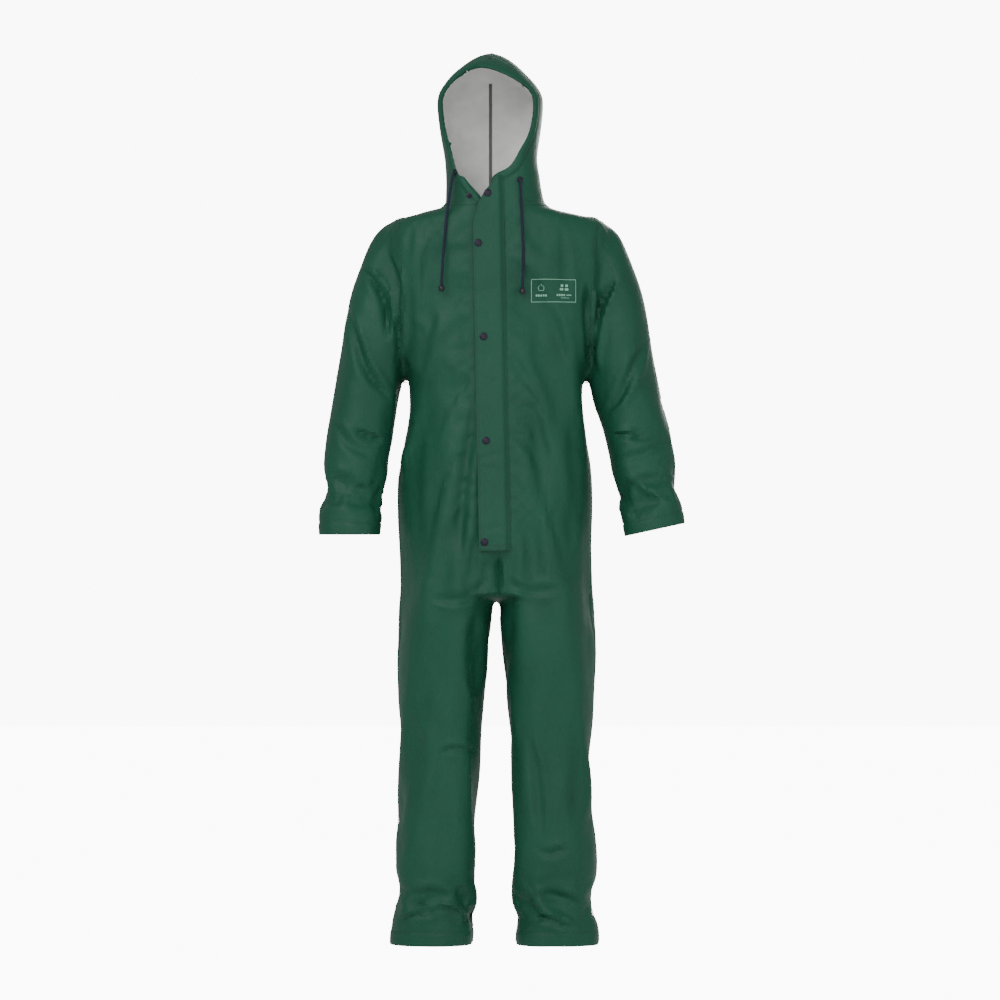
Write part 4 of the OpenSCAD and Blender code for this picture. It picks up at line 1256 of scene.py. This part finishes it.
cords = {
    "colour": (0.0085, 0.0110, 0.0300),
    "endColour": (0.014, 0.010, 0.020),
    "right": [(-84.6, -92.8, 62.4), (-86.2, -95.2, 57), (-88, -97, 48), (-91, -99, 30), (-94, -102, 10),
              (-96.5, -105, -10), (-99.5, -107.5, -36), (-102, -109, -62), (-104, -110, -88),
              (-106, -111, -114), (-107.5, -112, -138), (-108.5, -113, -160)],
    "left": [(45.2, -107.2, 46), (45.4, -109.4, 42), (46, -110.6, 32), (47, -110, 16), (48, -110, 0),
             (49, -110.5, -25), (50, -111.5, -50), (51, -112.5, -75), (51.5, -113.5, -100),
             (51.5, -114.5, -125), (50.5, -115.5, -148), (50, -116.5, -166)],
    "diameter": 0.005,
}


def makeCords():
    for side in ("right", "left"):
        line = evenLine(smoothLine(cords[side], 4), 7) * mm
        curve = bpy.data.curves.new("drawcord", "CURVE")
        curve.dimensions = "3D"
        curve.bevel_depth = cords["diameter"] / 2
        curve.bevel_resolution = 3
        curve.use_fill_caps = True
        spline = curve.splines.new("POLY")
        spline.points.add(len(line) - 1)
        for point, at in zip(spline.points, line):
            point.co = (*at, 1)
        spline.use_smooth = True
        curve.materials.append(finishes["braid"])
        obj = newObject("drawcord_" + side + "_braid", curve)
        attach(obj, "cord_" + side)
        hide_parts("drawcord_" + side)


printing = {"colour": (0.19, 0.42, 0.30), "x": 67, "z": -148, "width": 88, "height": 45, "rise": 0.0004}


def makePrint(tree):
    # a thin frame with two plain signs and bars in place of lettering, laid on the cloth
    width, height = printing["width"], printing["height"]
    line = 1.1
    shapes = [(0, 0, width, line), (0, height - line, width, line), (0, 0, line, height),
              (width - line, 0, line, height)]
    shapes += [(15, 22, 9, 1.1), (13.8, 23, 1.1, 8), (24.2, 23, 1.1, 8), (15, 31, 2.4, 1.1), (21.6, 31, 2.4, 1.1),
               (19, 32, 1.2, 3.4), (9, 11, 3.4, 4), (13.6, 11, 3.4, 4), (18.2, 11, 3.4, 4), (22.8, 11, 3.4, 4),
               (27.4, 11, 3.4, 4)]
    shapes += [(58, 30, 5, 5), (67, 30, 5, 5), (56, 23, 7, 4.6), (66, 23, 7, 4.6), (50, 12, 3.2, 4),
               (54.4, 12, 3.2, 4), (58.8, 12, 3.2, 4), (63.2, 12, 3.2, 4), (69, 13, 10, 2), (58, 8, 16, 1)]
    points, faces = [], []
    for u, v, w, h in shapes:
        columns, lines = max(1, round(w / 2.5)), max(1, round(h / 2.5))
        start = len(points)
        for j in range(lines + 1):
            for i in range(columns + 1):
                x = printing["x"] + u + w * i / columns
                z = printing["z"] - height + v + h * j / lines
                hit = tree.ray_cast(Vector((x, -200, z)) * mm, Vector((0, 1, 0)), 0.3)
                points.append(tuple(hit[0] + Vector((0, -printing["rise"], 0))))
        faces += gridFaces(lines + 1, columns + 1, start)
    mesh = bpy.data.meshes.new("chestPrint")
    mesh.from_pydata(points, [], faces)
    mesh.materials.append(finishes["print"])
    mesh.shade_smooth()
    obj = newObject("chest_print_ink", mesh)
    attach(obj, "trunk")
    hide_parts("chest_print")


def paintNodes():
    given = {
        "metal": ("zip_slider", "zip_pull", "snap_caps", "snap_sockets", "snap_studs", "snap_backs", "eyelet_right",
                  "eyelet_left", "zip_stops"),
        "tape": ("zip_tape_right", "zip_tape_left", "hanger_loop"),
        "cloth": ("zip_guard",), "braid": ("drawcord_hood",), "cordEnd": ("cord_end_right", "cord_end_left")}
    for finish, names in given.items():
        for name in names:
            node = next(o for o in bpy.data.objects if o.type == "MESH" and o.name.split(".")[0] == name)
            node.data.materials.clear()
            node.data.materials.append(finishes[finish])


makeStudio()
finishes = {
    "cloth": coatedCloth(), "lining": knitLining(), "braid": braid(), "metal": wornMetal(),
    "thread": plainFinish("thread", thread["colour"], 0.7),
    "tape": plainFinish("wovenTape", (0.02, 0.022, 0.04), 0.8),
    "liningSeam": plainFinish("liningSeam", (0.13, 0.13, 0.13), 0.85),
    "zipPlastic": plainFinish("zipPlastic", zipper["colour"], 0.4),
    "cordEnd": plainFinish("cordEnd", cords["endColour"], 0.35),
    "print": plainFinish("printInk", printing["colour"], 0.55, 400, 0.1)}
rowTree = repeatTree()
suit = suitSurface(cloth["voxel"])
print("suit surface:", len(suit.data.vertices), "points")
slackCloth(suit)
print("cloth slackened")
addFolds(suit)
print("folds added")
openSuit(suit)
shapeHems(suit)
outside = BVHTree.FromObject(suit, bpy.context.evaluated_depsgraph_get())
for finish in ("cloth", "lining", "thread", "liningSeam"):
    suit.data.materials.append(finishes[finish])
giveWall(suit)
print("openings and hems made:", len(suit.data.polygons), "faces")
dressSuit(suit, outside)
clothPieces = cutPieces(suit)
print("suit cut into", len(clothPieces), "pieces")
clothPieces["storm_flap"] = makeFlap()
makeTeeth()
makeCords()
makePrint(outside)
paintNodes()
print("closing, cords and print made")
